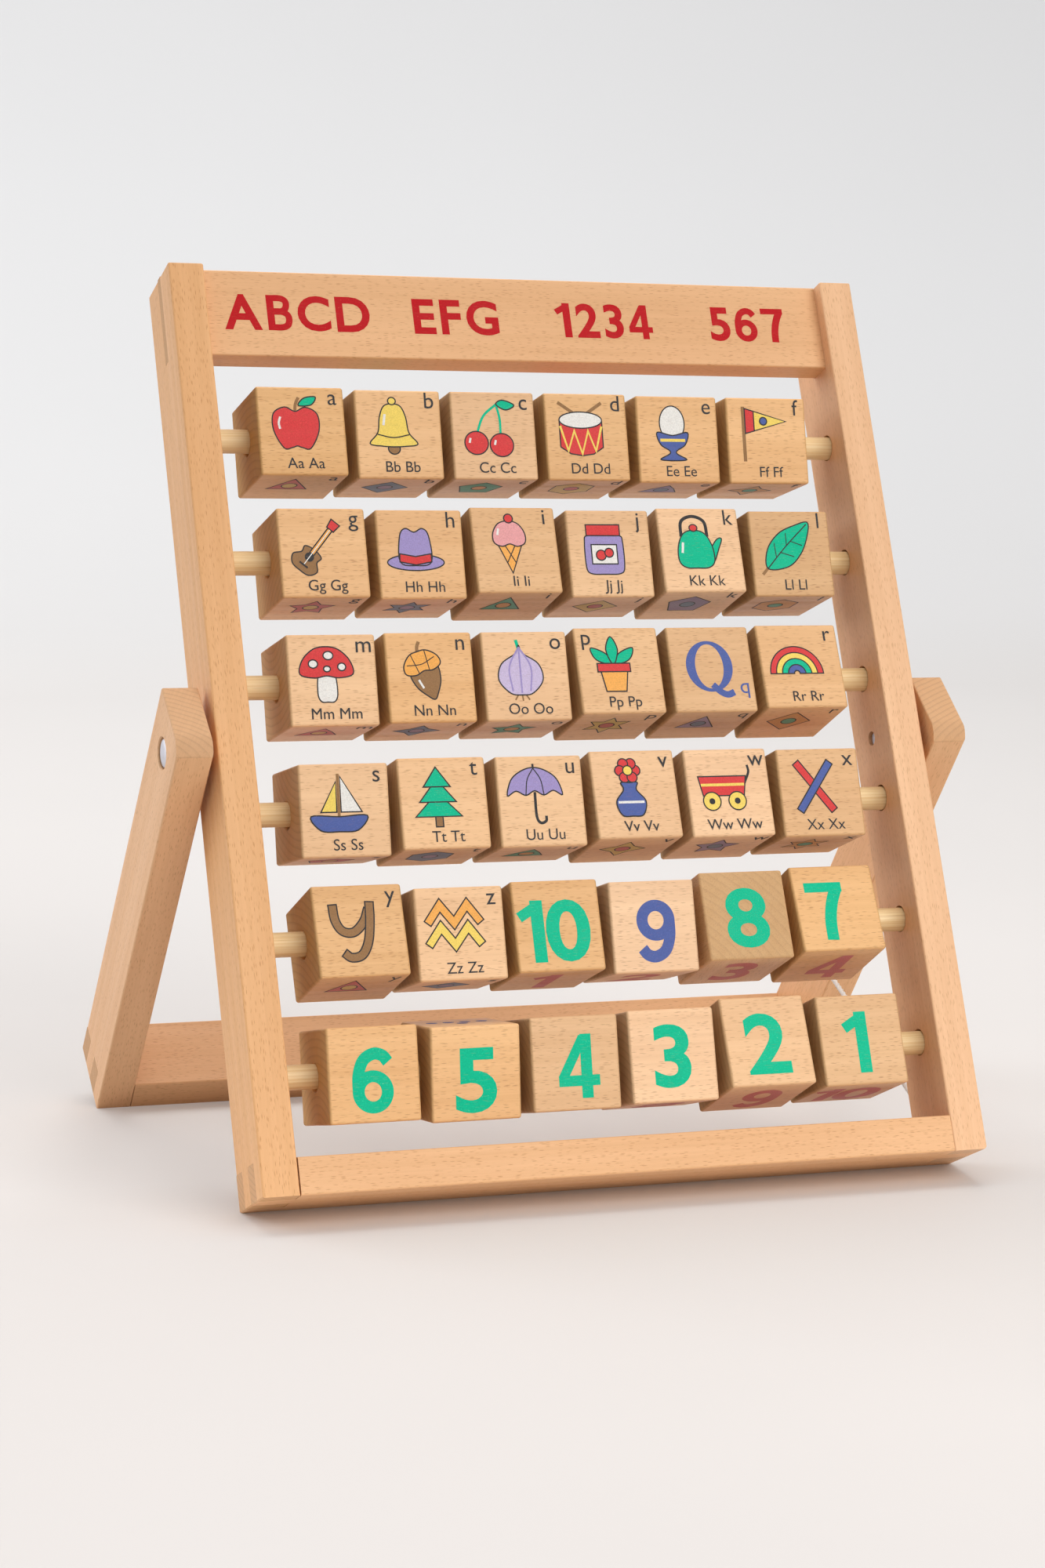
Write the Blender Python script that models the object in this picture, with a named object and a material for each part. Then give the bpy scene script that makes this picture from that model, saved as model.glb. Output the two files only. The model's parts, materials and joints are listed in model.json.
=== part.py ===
# Wooden alphabet rack: letter and number cubes that turn on rods in a leaning frame with a folding stand.
# Metres and degrees. The front faces -Y, +Z is up, and the rack stands on z = 0.
import math

import bmesh
import bpy
from mathutils import Matrix, Vector
from mathutils.geometry import interpolate_bezier

# Cubes, named row by row from the top left as they read from the front
CUBE_ROWS = (
    ("a", "b", "c", "d", "e", "f"),
    ("g", "h", "i", "j", "k", "l"),
    ("m", "n", "o", "p", "q", "r"),
    ("s", "t", "u", "v", "w", "x"),
    ("y", "z", "10", "9", "8", "7"),
    ("6", "5", "4", "3", "2", "1"),
)
CUBE_EDGE = 0.030
CUBE_ROUND = 0.0012
CUBE_ROUND_STEPS = 1
CUBE_GAP = 0.0031  # between neighbours on one rod
CUBE_TURNS = (  # how far each cube was left turned, top edge forward, in degrees
    (6, 9, 9, 9, 11, 11),
    (5, 7, 1, 6, 1, 6),
    (8, 6, 6, 0, 0, -3),
    (11, 5, 6, 0, 1, 4),
    (-2, 7, 2, 8, -2, -7),
    (11, 16.5, 11, 8, -4, 1),
)
ROW_SHIFTS = (-0.0011, 0.0015, -0.0006, -0.0009, -0.0007, -0.0003)  # each row along its rod
ROW_SPREADS = (0.0003, 0.0003, 0.0001, 0.0003, 0.0001, 0.0006)  # what each row's gaps have more
END_PLAY = 0.01425  # from the end cubes of a centred row to the stiles

# Rods and their blind sockets in the stiles
ROD_DIAMETER = 0.008
ROD_END_ROUND = 0.0005
ROD_RUNNING_GAP = 0.0005  # radial, rod to cube
SOCKET_SLACK = 0.0005  # radial, rod to socket
SOCKET_DEPTH = 0.008
ROW_CLEARANCE = 0.0004  # between the circles swept by the cube corners of two rows
RAIL_CLEARANCE = 0.0062  # from the lowest swept circle to the bottom rail
BOARD_CLEARANCE = 0.0058  # from the highest swept circle to the title board

# Planed stock of the frame and the stand
STOCK_WIDTH = 0.012
STOCK_DEPTH = 0.028
STOCK_ROUND = 0.0012
STOCK_ROUND_STEPS = 2
FINGERS = 4  # of each corner joint, across the depth of the stock
BOARD_HEIGHT = 0.0306
BOARD_THICKNESS = 0.010
BOARD_SETBACK = 0.005  # behind the front of the stiles
TONGUE_THICKNESS = 0.0035  # at the back of the board, through the stiles
LEAN = 25.9  # of the frame from upright

# Stand and its two pivots
STAND_GAP = 0.0024  # between stile and leg
LEG_HEAD = 0.0157  # from the pivot to the top of the leg
NOSE_RADIUS = 0.008  # of the rounding at the front of the leg's top
NOSE_SETBACK = 0.007  # of that rounding's centre from the front of the leg
NOSE_STEPS = 5
FOLD_CLEARANCE = 0.0012  # from the frame's bottom corner to the crossbar as the stand folds
BOLT_DIAMETER = 0.0044
BOLT_RUNNING_GAP = 0.0003  # radial
BOLT_HEAD_DIAMETER = 0.0092
BOLT_HEAD_RIM = 0.0010
BOLT_HEAD_DOME = 0.0007
BOLT_RECESS = 0.0010  # of the bolt's tip in the stile
COUNTERBORE_SLACK = 0.0006  # radial, round the bolt head
COUNTERBORE_DEPTH = 0.0021
INSERT_DIAMETER = 0.0080
INSERT_LENGTH = 0.0090
WASHER_DIAMETER = 0.0120

# Stay cord from the right leg to the right stile: x from the middle, y and z from the pivot axis
CORD_DIAMETER = 0.0018
CORD_SLACK = 0.0004  # radial, cord to its holes
CORD_HOLE_DEPTH = 0.0080
CORD_MOUTH = 0.0022  # how far the leg's hole is widened at its mouth
CORD_LEG_DROP = 0.1097  # below the pivot, along the leg
CORD_STILE_HEIGHT = 0.0180  # above the bottom of the stile
CORD_ROUTE = (
    (0.1336, 0.0646, -0.0887),
    (0.1316, 0.0646, -0.0887),
    (0.1291, 0.0646, -0.0887),
    (0.1279, 0.0644, -0.0888),
    (0.1268, 0.0638, -0.0889),
    (0.1258, 0.0630, -0.0892),
    (0.1252, 0.0620, -0.0895),
    (0.1249, 0.0608, -0.0899),
    (0.1241, 0.0487, -0.0937),
    (0.1229, 0.0305, -0.0995),
    (0.1215, 0.0103, -0.1058),
    (0.1202, -0.0099, -0.1122),
    (0.1189, -0.0281, -0.1180),
    (0.1181, -0.0402, -0.1218),
    (0.1180, -0.0421, -0.1221),
    (0.1180, -0.0439, -0.1215),
    (0.1180, -0.0469, -0.1201),
    (0.1180, -0.0498, -0.1186),
)
CORD_SPACING = 0.0045  # of the points read along the route
CORD_ROUND_STEPS = 2

GAP = 0.0003  # between pieces that are glued or rest on each other
OVERCUT = 0.002  # how far a cut runs past a face
ROUND_SIDES = 16
DOME_STEPS = 3
SMOOTH_ANGLE = 40.0  # edges turned further than this stay crisp

# Sizes that follow from the driving dimensions
ROD_COUNT = len(CUBE_ROWS)
ROW_LENGTH = len(CUBE_ROWS[0]) * (CUBE_EDGE + CUBE_GAP) - CUBE_GAP
INNER_WIDTH = ROW_LENGTH + 2 * END_PLAY
FRAME_WIDTH = INNER_WIDTH + 2 * STOCK_WIDTH
STAND_INNER = FRAME_WIDTH + 2 * STAND_GAP
STAND_WIDTH = STAND_INNER + 2 * STOCK_WIDTH
SWEEP_RADIUS = CUBE_EDGE * math.sqrt(0.5)
ROD_PITCH = 2 * SWEEP_RADIUS + ROW_CLEARANCE
LOWEST_ROD = STOCK_WIDTH + RAIL_CLEARANCE + SWEEP_RADIUS
ROD_HEIGHTS = [LOWEST_ROD + (ROD_COUNT - 1 - row) * ROD_PITCH for row in range(ROD_COUNT)]
BOARD_BOTTOM = ROD_HEIGHTS[0] + SWEEP_RADIUS + BOARD_CLEARANCE
STILE_HEIGHT = BOARD_BOTTOM + BOARD_HEIGHT
FRONT = -STOCK_DEPTH / 2
BACK = STOCK_DEPTH / 2
BOARD_BACK = FRONT + BOARD_SETBACK + BOARD_THICKNESS
PIVOT_HEIGHT = (ROD_HEIGHTS[0] + ROD_HEIGHTS[-1]) / 2
LEG_DROP = math.hypot(PIVOT_HEIGHT, STOCK_DEPTH / 2) + FOLD_CLEARANCE + STOCK_WIDTH
BOLT_BORE_RADIUS = BOLT_DIAMETER / 2 + BOLT_RUNNING_GAP
CORD_HOLE_RADIUS = CORD_DIAMETER / 2 + CORD_SLACK


def clear_scene():
    for old in list(bpy.data.objects):
        bpy.data.objects.remove(old, do_unlink=True)


def make_material(name, colour, roughness, metallic=0.0):
    material = bpy.data.materials.new(name)
    material.use_nodes = True
    shader = material.node_tree.nodes["Principled BSDF"]
    shader.inputs["Base Color"].default_value = (*colour, 1.0)
    shader.inputs["Roughness"].default_value = roughness
    shader.inputs["Metallic"].default_value = metallic
    return material


def add_empty(name, parent=None, location=(0, 0, 0), turn_x=0.0):
    empty = bpy.data.objects.new(name, None)
    bpy.context.collection.objects.link(empty)
    empty.parent = parent
    empty.location = location
    empty.rotation_euler = (turn_x, 0, 0)
    return empty


def add_object(name, mesh, parent, location=(0, 0, 0)):
    piece = bpy.data.objects.new(name, mesh)
    bpy.context.collection.objects.link(piece)
    piece.parent = parent
    piece.location = location
    return piece


def finish_mesh(name, shape, smooth=False):
    bmesh.ops.recalc_face_normals(shape, faces=shape.faces)
    mesh = bpy.data.meshes.new(name)
    shape.to_mesh(mesh)
    shape.free()
    if smooth:
        mesh.shade_smooth()
        mesh.set_sharp_from_angle(angle=math.radians(SMOOTH_ANGLE))
    return mesh


def add_box(shape, low, high):
    low, high = Vector(low), Vector(high)
    place = Matrix.Translation((low + high) / 2) @ Matrix.Diagonal((*(high - low), 1.0))
    bmesh.ops.create_cube(shape, size=1.0, matrix=place)


def ease_edges(shape, width, steps):
    bmesh.ops.bevel(shape, geom=shape.edges[:], offset=width, segments=steps, profile=0.5, affect="EDGES")


def add_turned(shape, profile, place, ring=False):
    # The profile is a list of (distance along X, radius), turned round X. A ring's profile closes on itself.
    loops = []
    for along, radius in profile:
        if radius == 0:
            loops.append([shape.verts.new(place @ Vector((along, 0, 0)))])
            continue
        loop = []
        for side in range(ROUND_SIDES):
            angle = math.tau * side / ROUND_SIDES
            point = Vector((along, radius * math.cos(angle), radius * math.sin(angle)))
            loop.append(shape.verts.new(place @ point))
        loops.append(loop)
    pairs = list(zip(loops, loops[1:]))
    if ring:
        pairs.append((loops[-1], loops[0]))
    for first, second in pairs:
        for side in range(ROUND_SIDES):
            after = (side + 1) % ROUND_SIDES
            corners = [first[side % len(first)], first[after % len(first)]]
            corners += [second[after % len(second)], second[side % len(second)]]
            shape.faces.new(list(dict.fromkeys(corners)))
    if not ring:
        for loop in (loops[0], loops[-1]):
            if len(loop) > 1:
                shape.faces.new(loop)


def add_bar(name, low, high, parent, material):
    # A length of planed stock with its edges eased
    size = Vector(high) - Vector(low)
    shape = bmesh.new()
    add_box(shape, -size / 2, size / 2)
    ease_edges(shape, STOCK_ROUND, STOCK_ROUND_STEPS)
    mesh = finish_mesh(name, shape)
    mesh.materials.append(material)
    return add_object(name, mesh, parent, (Vector(low) + Vector(high)) / 2)


def cut(piece, cutter):
    boolean = piece.modifiers.new("cut", "BOOLEAN")
    boolean.operation = "DIFFERENCE"
    boolean.solver = "EXACT"
    boolean.object = cutter


def add_cutter(name, shape, parent):
    cutter = add_object(name, finish_mesh(name, shape), parent)
    cutter.hide_render = True
    cutter.display_type = "WIRE"
    return cutter


def add_finger_slots(shape, first, low_x, high_x, low_z, high_z):
    # Every second finger's room, from the front of the stock to its back, with half the gap on each side
    finger = STOCK_DEPTH / FINGERS
    for index in range(first, FINGERS, 2):
        low_y = FRONT + index * finger - GAP / 2
        high_y = FRONT + (index + 1) * finger + GAP / 2
        if index == 0:
            low_y -= OVERCUT
        if index == FINGERS - 1:
            high_y += OVERCUT
        add_box(shape, (low_x, low_y, low_z), (high_x, high_y, high_z))


def add_rail_room(shape, side, inner_half, bottom):
    # The room that a rail's fingers need in the bottom of an upright on one side
    low_x, high_x = sorted((side * (inner_half - OVERCUT), side * (inner_half + STOCK_WIDTH + OVERCUT)))
    add_finger_slots(shape, 1, low_x, high_x, bottom - OVERCUT, bottom + STOCK_WIDTH + GAP)


def add_rail(name, inner_half, bottom, parent, material):
    # A rail whose ends are cut into fingers for the two uprights
    outer = inner_half + STOCK_WIDTH
    rail = add_bar(name, (-outer, FRONT, bottom), (outer, BACK, bottom + STOCK_WIDTH), parent, material)
    shape = bmesh.new()
    for side in (-1, 1):
        low_x, high_x = sorted((side * (inner_half - GAP), side * (outer + OVERCUT)))
        add_finger_slots(shape, 0, low_x, high_x, bottom - OVERCUT, bottom + STOCK_WIDTH + OVERCUT)
    cut(rail, add_cutter(name + "_slots", shape, parent))


def add_stile(name, side, parent, material):
    inner = INNER_WIDTH / 2
    outer = FRAME_WIDTH / 2
    low_x, high_x = sorted((side * inner, side * outer))
    stile = add_bar(name, (low_x, FRONT, 0), (high_x, BACK, STILE_HEIGHT), parent, material)
    shape = bmesh.new()
    add_rail_room(shape, side, inner, 0)
    add_box(
        shape,
        (low_x - OVERCUT, BOARD_BACK - TONGUE_THICKNESS - GAP, BOARD_BOTTOM - GAP),
        (high_x + OVERCUT, BOARD_BACK + GAP, STILE_HEIGHT + OVERCUT),
    )
    facing = Matrix.Diagonal((side, 1, 1, 1))
    socket_radius = ROD_DIAMETER / 2 + SOCKET_SLACK
    for height in ROD_HEIGHTS:
        place = Matrix.Translation((0, 0, height + SOCKET_SLACK - GAP)) @ facing
        add_turned(shape, [(inner - OVERCUT, socket_radius), (inner + SOCKET_DEPTH, socket_radius)], place)
    insert_radius = INSERT_DIAMETER / 2 + GAP
    pocket = outer - INSERT_LENGTH - 2 * GAP
    hole = [(inner - OVERCUT, BOLT_BORE_RADIUS), (pocket, BOLT_BORE_RADIUS)]
    hole += [(pocket, insert_radius), (outer + OVERCUT, insert_radius)]
    add_turned(shape, hole, Matrix.Translation((0, 0, PIVOT_HEIGHT)) @ facing)
    if side > 0:
        # Blind hole for the end of the stay cord, in the middle of the back face
        backwards = Matrix.Rotation(math.radians(90), 4, "Z")
        place = Matrix.Translation(((inner + outer) / 2, BACK, CORD_STILE_HEIGHT)) @ backwards
        add_turned(shape, [(-CORD_HOLE_DEPTH, CORD_HOLE_RADIUS), (OVERCUT, CORD_HOLE_RADIUS)], place)
    cut(stile, add_cutter(name + "_cuts", shape, parent))


def add_title_board(parent, material):
    half = FRAME_WIDTH / 2
    front = FRONT + BOARD_SETBACK
    board = add_bar(
        "title_board", (-half, front, BOARD_BOTTOM), (half, BOARD_BACK, STILE_HEIGHT), parent, material
    )
    shape = bmesh.new()
    for side in (-1, 1):
        low_x, high_x = sorted((side * (INNER_WIDTH / 2 - GAP), side * (half + OVERCUT)))
        low = (low_x, front - OVERCUT, BOARD_BOTTOM - OVERCUT)
        add_box(shape, low, (high_x, BOARD_BACK - TONGUE_THICKNESS, STILE_HEIGHT + OVERCUT))
    cut(board, add_cutter("title_board_rebates", shape, parent))


def add_rod(row, parent, material):
    radius = ROD_DIAMETER / 2
    end = INNER_WIDTH / 2 + SOCKET_DEPTH - GAP
    profile = [(-end, radius - ROD_END_ROUND), (-end + ROD_END_ROUND, radius)]
    profile += [(end - ROD_END_ROUND, radius), (end, radius - ROD_END_ROUND)]
    shape = bmesh.new()
    add_turned(shape, profile, Matrix())
    mesh = finish_mesh("rod", shape, smooth=True)
    mesh.materials.append(material)
    add_object(f"rod_{row + 1}", mesh, parent, (0, 0, ROD_HEIGHTS[row]))


def add_cubes(parent, material):
    shape = bmesh.new()
    half = Vector((1, 1, 1)) * CUBE_EDGE / 2
    add_box(shape, -half, half)
    ease_edges(shape, CUBE_ROUND, CUBE_ROUND_STEPS)
    block = finish_mesh("cube", shape)
    block.materials.append(material)
    bore_radius = ROD_DIAMETER / 2 + ROD_RUNNING_GAP
    for row, names in enumerate(CUBE_ROWS):
        bore = bmesh.new()
        reach = INNER_WIDTH / 2
        place = Matrix.Translation((0, 0, ROD_HEIGHTS[row]))
        add_turned(bore, [(-reach, bore_radius), (reach, bore_radius)], place)
        bore_cutter = add_cutter(f"row_{row + 1}_bore", bore, parent)
        pitch = CUBE_EDGE + CUBE_GAP + ROW_SPREADS[row]
        first = ROW_SHIFTS[row] - pitch * (len(names) - 1) / 2
        for column, name in enumerate(names):
            x = first + column * pitch
            cube = add_object(f"cube_{name}", block, parent, (x, 0, ROD_HEIGHTS[row]))
            cube.rotation_euler.x = math.radians(CUBE_TURNS[row][column])
            cut(cube, bore_cutter)


def add_nose_waste(shape, low_x, high_x):
    # What is rounded off the front of a leg's top: all outside an arc that starts level with the top
    sweep = math.asin(NOSE_SETBACK / NOSE_RADIUS)
    outline = [(FRONT - OVERCUT, LEG_HEAD + OVERCUT), (FRONT + NOSE_SETBACK, LEG_HEAD + OVERCUT)]
    for step in range(NOSE_STEPS + 1):
        angle = sweep * step / NOSE_STEPS
        y = FRONT + NOSE_SETBACK - NOSE_RADIUS * math.sin(angle)
        outline.append((y, LEG_HEAD - NOSE_RADIUS * (1 - math.cos(angle))))
    outline.append((FRONT - OVERCUT, outline[-1][1]))
    ends = [[shape.verts.new((x, y, z)) for y, z in outline] for x in (low_x, high_x)]
    for end in ends:
        shape.faces.new(end)
    for side in range(len(outline)):
        shape.faces.new((ends[0][side - 1], ends[0][side], ends[1][side], ends[1][side - 1]))


def add_leg(name, side, parent, material):
    inner = STAND_INNER / 2
    outer = STAND_WIDTH / 2
    low_x, high_x = sorted((side * inner, side * outer))
    leg = add_bar(name, (low_x, FRONT, -LEG_DROP), (high_x, BACK, LEG_HEAD), parent, material)
    shape = bmesh.new()
    add_rail_room(shape, side, inner, -LEG_DROP)
    add_nose_waste(shape, low_x - OVERCUT, high_x + OVERCUT)
    facing = Matrix.Diagonal((side, 1, 1, 1))
    head_radius = BOLT_HEAD_DIAMETER / 2 + COUNTERBORE_SLACK
    floor = outer - COUNTERBORE_DEPTH
    hole = [(inner - OVERCUT, BOLT_BORE_RADIUS), (floor, BOLT_BORE_RADIUS)]
    hole += [(floor, head_radius), (outer + OVERCUT, head_radius)]
    add_turned(shape, hole, facing)
    if side > 0:
        # Blind hole for the other end of the cord, in the inner face, with a widened mouth
        mouth = CORD_HOLE_RADIUS + CORD_MOUTH
        hole = [(inner - OVERCUT, mouth), (inner, mouth), (inner + CORD_MOUTH, CORD_HOLE_RADIUS)]
        hole += [(inner + CORD_HOLE_DEPTH, CORD_HOLE_RADIUS)]
        add_turned(shape, hole, Matrix.Translation((0, 0, -CORD_LEG_DROP)))
    cut(leg, add_cutter(name + "_cuts", shape, parent))


def ring_profile(start, end, diameter):
    # A ring on the bolt's bore
    radius = diameter / 2
    return [(start, BOLT_BORE_RADIUS), (end, BOLT_BORE_RADIUS), (end, radius), (start, radius)]


def add_pivot(side_name, side, parent, steel, brass):
    # Domed bolt through the leg, spacing washer, and the threaded insert in the stile
    facing = Matrix.Diagonal((side, 1, 1, 1))
    outer = FRAME_WIDTH / 2
    head_radius = BOLT_HEAD_DIAMETER / 2
    shank = BOLT_DIAMETER / 2
    seat = STAND_WIDTH / 2 - COUNTERBORE_DEPTH + GAP
    tip = INNER_WIDTH / 2 + BOLT_RECESS
    profile = [(tip, shank), (seat, shank), (seat, head_radius)]
    for step in range(DOME_STEPS):
        angle = math.radians(90) * step / DOME_STEPS
        rise = seat + BOLT_HEAD_RIM + BOLT_HEAD_DOME * math.sin(angle)
        profile.append((rise, head_radius * math.cos(angle)))
    profile.append((seat + BOLT_HEAD_RIM + BOLT_HEAD_DOME, 0))
    insert_start = outer - INSERT_LENGTH - GAP
    spots = (
        ("pivot_bolt", profile, False, steel),
        ("pivot_washer", ring_profile(outer + GAP, outer + STAND_GAP - GAP, WASHER_DIAMETER), True, steel),
        ("pivot_insert", ring_profile(insert_start, outer - GAP, INSERT_DIAMETER), True, brass),
    )
    for kind, outline, ring, material in spots:
        shape = bmesh.new()
        add_turned(shape, outline, facing, ring)
        mesh = finish_mesh(f"{side_name}_{kind}", shape, smooth=True)
        mesh.materials.append(material)
        add_object(f"{side_name}_{kind}", mesh, parent, (0, 0, PIVOT_HEIGHT))


def smooth_route(points):
    # Points along a smooth curve through the route's own points: at each one it runs parallel to the
    # line between its two neighbours, and a handle is a sixth of that line
    points = [Vector(point) for point in points]
    ends = [2 * points[0] - points[1], *points, 2 * points[-1] - points[-2]]
    smooth = [points[0]]
    for before, start, stop, after in zip(ends, ends[1:], ends[2:], ends[3:]):
        start_handle = start + (stop - before) / 6
        stop_handle = stop - (after - start) / 6
        steps = math.ceil((stop - start).length / CORD_SPACING)
        smooth += interpolate_bezier(start, start_handle, stop_handle, stop, steps + 1)[1:]
    return smooth


def add_stay_cord(parent, material):
    curve = bpy.data.curves.new("stay_cord", "CURVE")
    curve.dimensions = "3D"
    curve.bevel_depth = CORD_DIAMETER / 2
    curve.bevel_resolution = CORD_ROUND_STEPS
    curve.use_fill_caps = True
    route = smooth_route(CORD_ROUTE)
    spline = curve.splines.new("POLY")
    spline.points.add(len(route) - 1)
    for spot, point in zip(spline.points, route):
        spot.co = (*point, 1.0)
    curve.materials.append(material)
    add_object("stay_cord", curve, parent)


def stand_angle(pivot_rise):
    # The legs' lean at which their front bottom edges reach the ground that the frame stands on
    foot_reach = math.hypot(LEG_DROP, STOCK_DEPTH / 2)
    return math.atan2(STOCK_DEPTH / 2, LEG_DROP) + math.acos(pivot_rise / foot_reach)


def centre_on_ground(root):
    # Stand the finished rack on z = 0 with the middle of its box on the Z axis
    bpy.context.view_layer.update()
    graph = bpy.context.evaluated_depsgraph_get()
    corners = []
    for piece in bpy.data.objects:
        if piece.type == "MESH" and not piece.hide_render:
            solid = piece.evaluated_get(graph)
            corners += [solid.matrix_world @ vertex.co for vertex in solid.data.vertices]
    lows = [min(corner[axis] for corner in corners) for axis in range(3)]
    highs = [max(corner[axis] for corner in corners) for axis in range(3)]
    root.location = (-(lows[0] + highs[0]) / 2, -(lows[1] + highs[1]) / 2, -lows[2])


def build():
    clear_scene()
    beech = make_material("beech", (0.72, 0.44, 0.23), 0.55)
    cube_beech = make_material("cube_beech", (0.76, 0.50, 0.29), 0.5)
    bamboo = make_material("bamboo", (0.80, 0.62, 0.38), 0.5)
    steel = make_material("zinc_steel", (0.62, 0.62, 0.60), 0.35, 1.0)
    brass = make_material("insert_brass", (0.66, 0.52, 0.26), 0.4, 1.0)
    cotton = make_material("white_cord", (0.86, 0.84, 0.82), 0.9)
    lean = math.radians(LEAN)
    root = add_empty("rack")
    foot_rise = STOCK_DEPTH / 2 * math.sin(lean)
    frame = add_empty("frame_lean", root, (0, 0, foot_rise), -lean)
    for side_name, side in (("left", -1), ("right", 1)):
        add_stile(f"{side_name}_stile", side, frame, beech)
        add_pivot(side_name, side, frame, steel, brass)
    add_rail("bottom_rail", INNER_WIDTH / 2, 0, frame, beech)
    add_title_board(frame, beech)
    for row in range(ROD_COUNT):
        add_rod(row, frame, bamboo)
    add_cubes(frame, cube_beech)
    pivot_rise = foot_rise + PIVOT_HEIGHT * math.cos(lean)
    pivot = (0, PIVOT_HEIGHT * math.sin(lean), pivot_rise)
    stand = add_empty("stand_pivot", root, pivot, stand_angle(pivot_rise))
    add_leg("left_leg", -1, stand, beech)
    add_leg("right_leg", 1, stand, beech)
    add_rail("stand_crossbar", STAND_INNER / 2, -LEG_DROP, stand, beech)
    add_stay_cord(add_empty("cord_start", root, pivot), cotton)
    centre_on_ground(root)


build()
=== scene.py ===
import json
import math

import bmesh
import bpy
import numpy as np
from mathutils import Matrix, Vector
from mathutils.geometry import tessellate_polygon


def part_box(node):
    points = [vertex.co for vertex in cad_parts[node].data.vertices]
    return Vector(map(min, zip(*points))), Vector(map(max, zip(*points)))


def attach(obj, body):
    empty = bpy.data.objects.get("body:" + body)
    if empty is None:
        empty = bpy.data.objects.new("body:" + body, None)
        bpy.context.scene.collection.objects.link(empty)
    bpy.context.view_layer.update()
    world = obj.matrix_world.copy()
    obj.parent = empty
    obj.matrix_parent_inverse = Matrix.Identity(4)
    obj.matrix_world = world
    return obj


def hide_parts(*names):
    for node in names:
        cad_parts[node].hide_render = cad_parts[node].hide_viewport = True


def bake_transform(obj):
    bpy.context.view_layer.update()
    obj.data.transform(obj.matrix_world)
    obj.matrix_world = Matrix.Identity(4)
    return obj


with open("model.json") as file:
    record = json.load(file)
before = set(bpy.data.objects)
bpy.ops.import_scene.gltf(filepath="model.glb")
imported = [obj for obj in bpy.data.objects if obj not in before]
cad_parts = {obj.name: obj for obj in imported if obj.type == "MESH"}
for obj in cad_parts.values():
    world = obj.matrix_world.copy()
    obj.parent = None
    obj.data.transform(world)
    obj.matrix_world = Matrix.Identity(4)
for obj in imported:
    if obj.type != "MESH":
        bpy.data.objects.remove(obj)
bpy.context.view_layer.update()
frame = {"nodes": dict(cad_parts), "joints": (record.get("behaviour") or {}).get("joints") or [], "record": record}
scene = bpy.context.scene
mm = 0.001

# Camera: seen from the left of the front, a little above, with the picture turned slightly
cameraLook = {
    "place": (-0.40172, -1.04762, 0.29995),
    "target": (-0.01012, 0.0, 0.12214),
    "roll": 1.93,  # degrees, right side lifted
    "lens": 77.35,  # mm
    "sensor": 36.0,  # mm, along the picture's long side
    "nearest": 0.05,
}


def linked(name, data):
    item = bpy.data.objects.new(name, data)
    scene.collection.objects.link(item)
    return item


def addCamera(look):
    lens = bpy.data.cameras.new("camera")
    lens.lens = look["lens"]
    lens.sensor_width = look["sensor"]
    lens.clip_start = look["nearest"]
    camera = linked("camera", lens)
    sight = Vector(look["target"]) - Vector(look["place"])
    upright = sight.to_track_quat("-Z", "Y").to_matrix().to_4x4()
    tilt = Matrix.Rotation(math.radians(look["roll"]), 4, "Z")
    camera.matrix_world = Matrix.Translation(look["place"]) @ upright @ tilt
    scene.camera = camera


addCamera(cameraLook)
print("camera set")

# Every part is worked out square, round the pivot of the stand, and then turned into its place
pivot = np.array(frame["joints"][0]["pos_m"])  # stand_fold
mountAxes = {mount["name"]: mount["axis"] for mount in frame["record"]["mounts"]}


def turnAboutX(angle):
    cosine, sine = math.cos(angle), math.sin(angle)
    return np.array([[1, 0, 0], [0, cosine, -sine], [0, sine, cosine]])


backOfStile = mountAxes["left_stile_back"]
underCrossbar = mountAxes["crossbar_under"]
leanTurn = turnAboutX(math.asin(backOfStile[2]))
standTurn = turnAboutX(math.atan2(underCrossbar[1], -underCrossbar[2]))


def meshPoints(mesh):
    points = np.empty(len(mesh.vertices) * 3)
    mesh.vertices.foreach_get("co", points)
    return points.reshape(-1, 3)


def faceNormals(mesh):
    normals = np.empty(len(mesh.polygons) * 3)
    mesh.polygons.foreach_get("normal", normals)
    return normals.reshape(-1, 3)


def squareBox(node, turn):
    points = (meshPoints(frame["nodes"][node].data) - pivot) @ turn
    return points.min(0), points.max(0)


def gridFaces(rows, columns):
    # Quads of a grid of points kept row by row, whose last column joins its first
    row, column = np.meshgrid(np.arange(rows - 1), np.arange(columns), indexing="ij")
    after = (column + 1) % columns
    quads = [row * columns + column, row * columns + after]
    quads += [(row + 1) * columns + after, (row + 1) * columns + column]
    return np.stack(quads, -1).reshape(-1, 4).tolist()


def turnedShape(profile, sides):
    # Each (distance along X, radius) of the profile, carried round the X axis
    along, radius = np.asarray(profile, float).T
    angle = np.linspace(0, 2 * np.pi, sides, endpoint=False)
    reach = np.broadcast_to(along[:, None], (len(along), sides))
    points = np.stack([reach, np.outer(radius, np.cos(angle)), np.outer(radius, np.sin(angle))], -1)
    return points.reshape(-1, 3), gridFaces(len(along), sides)


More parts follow.
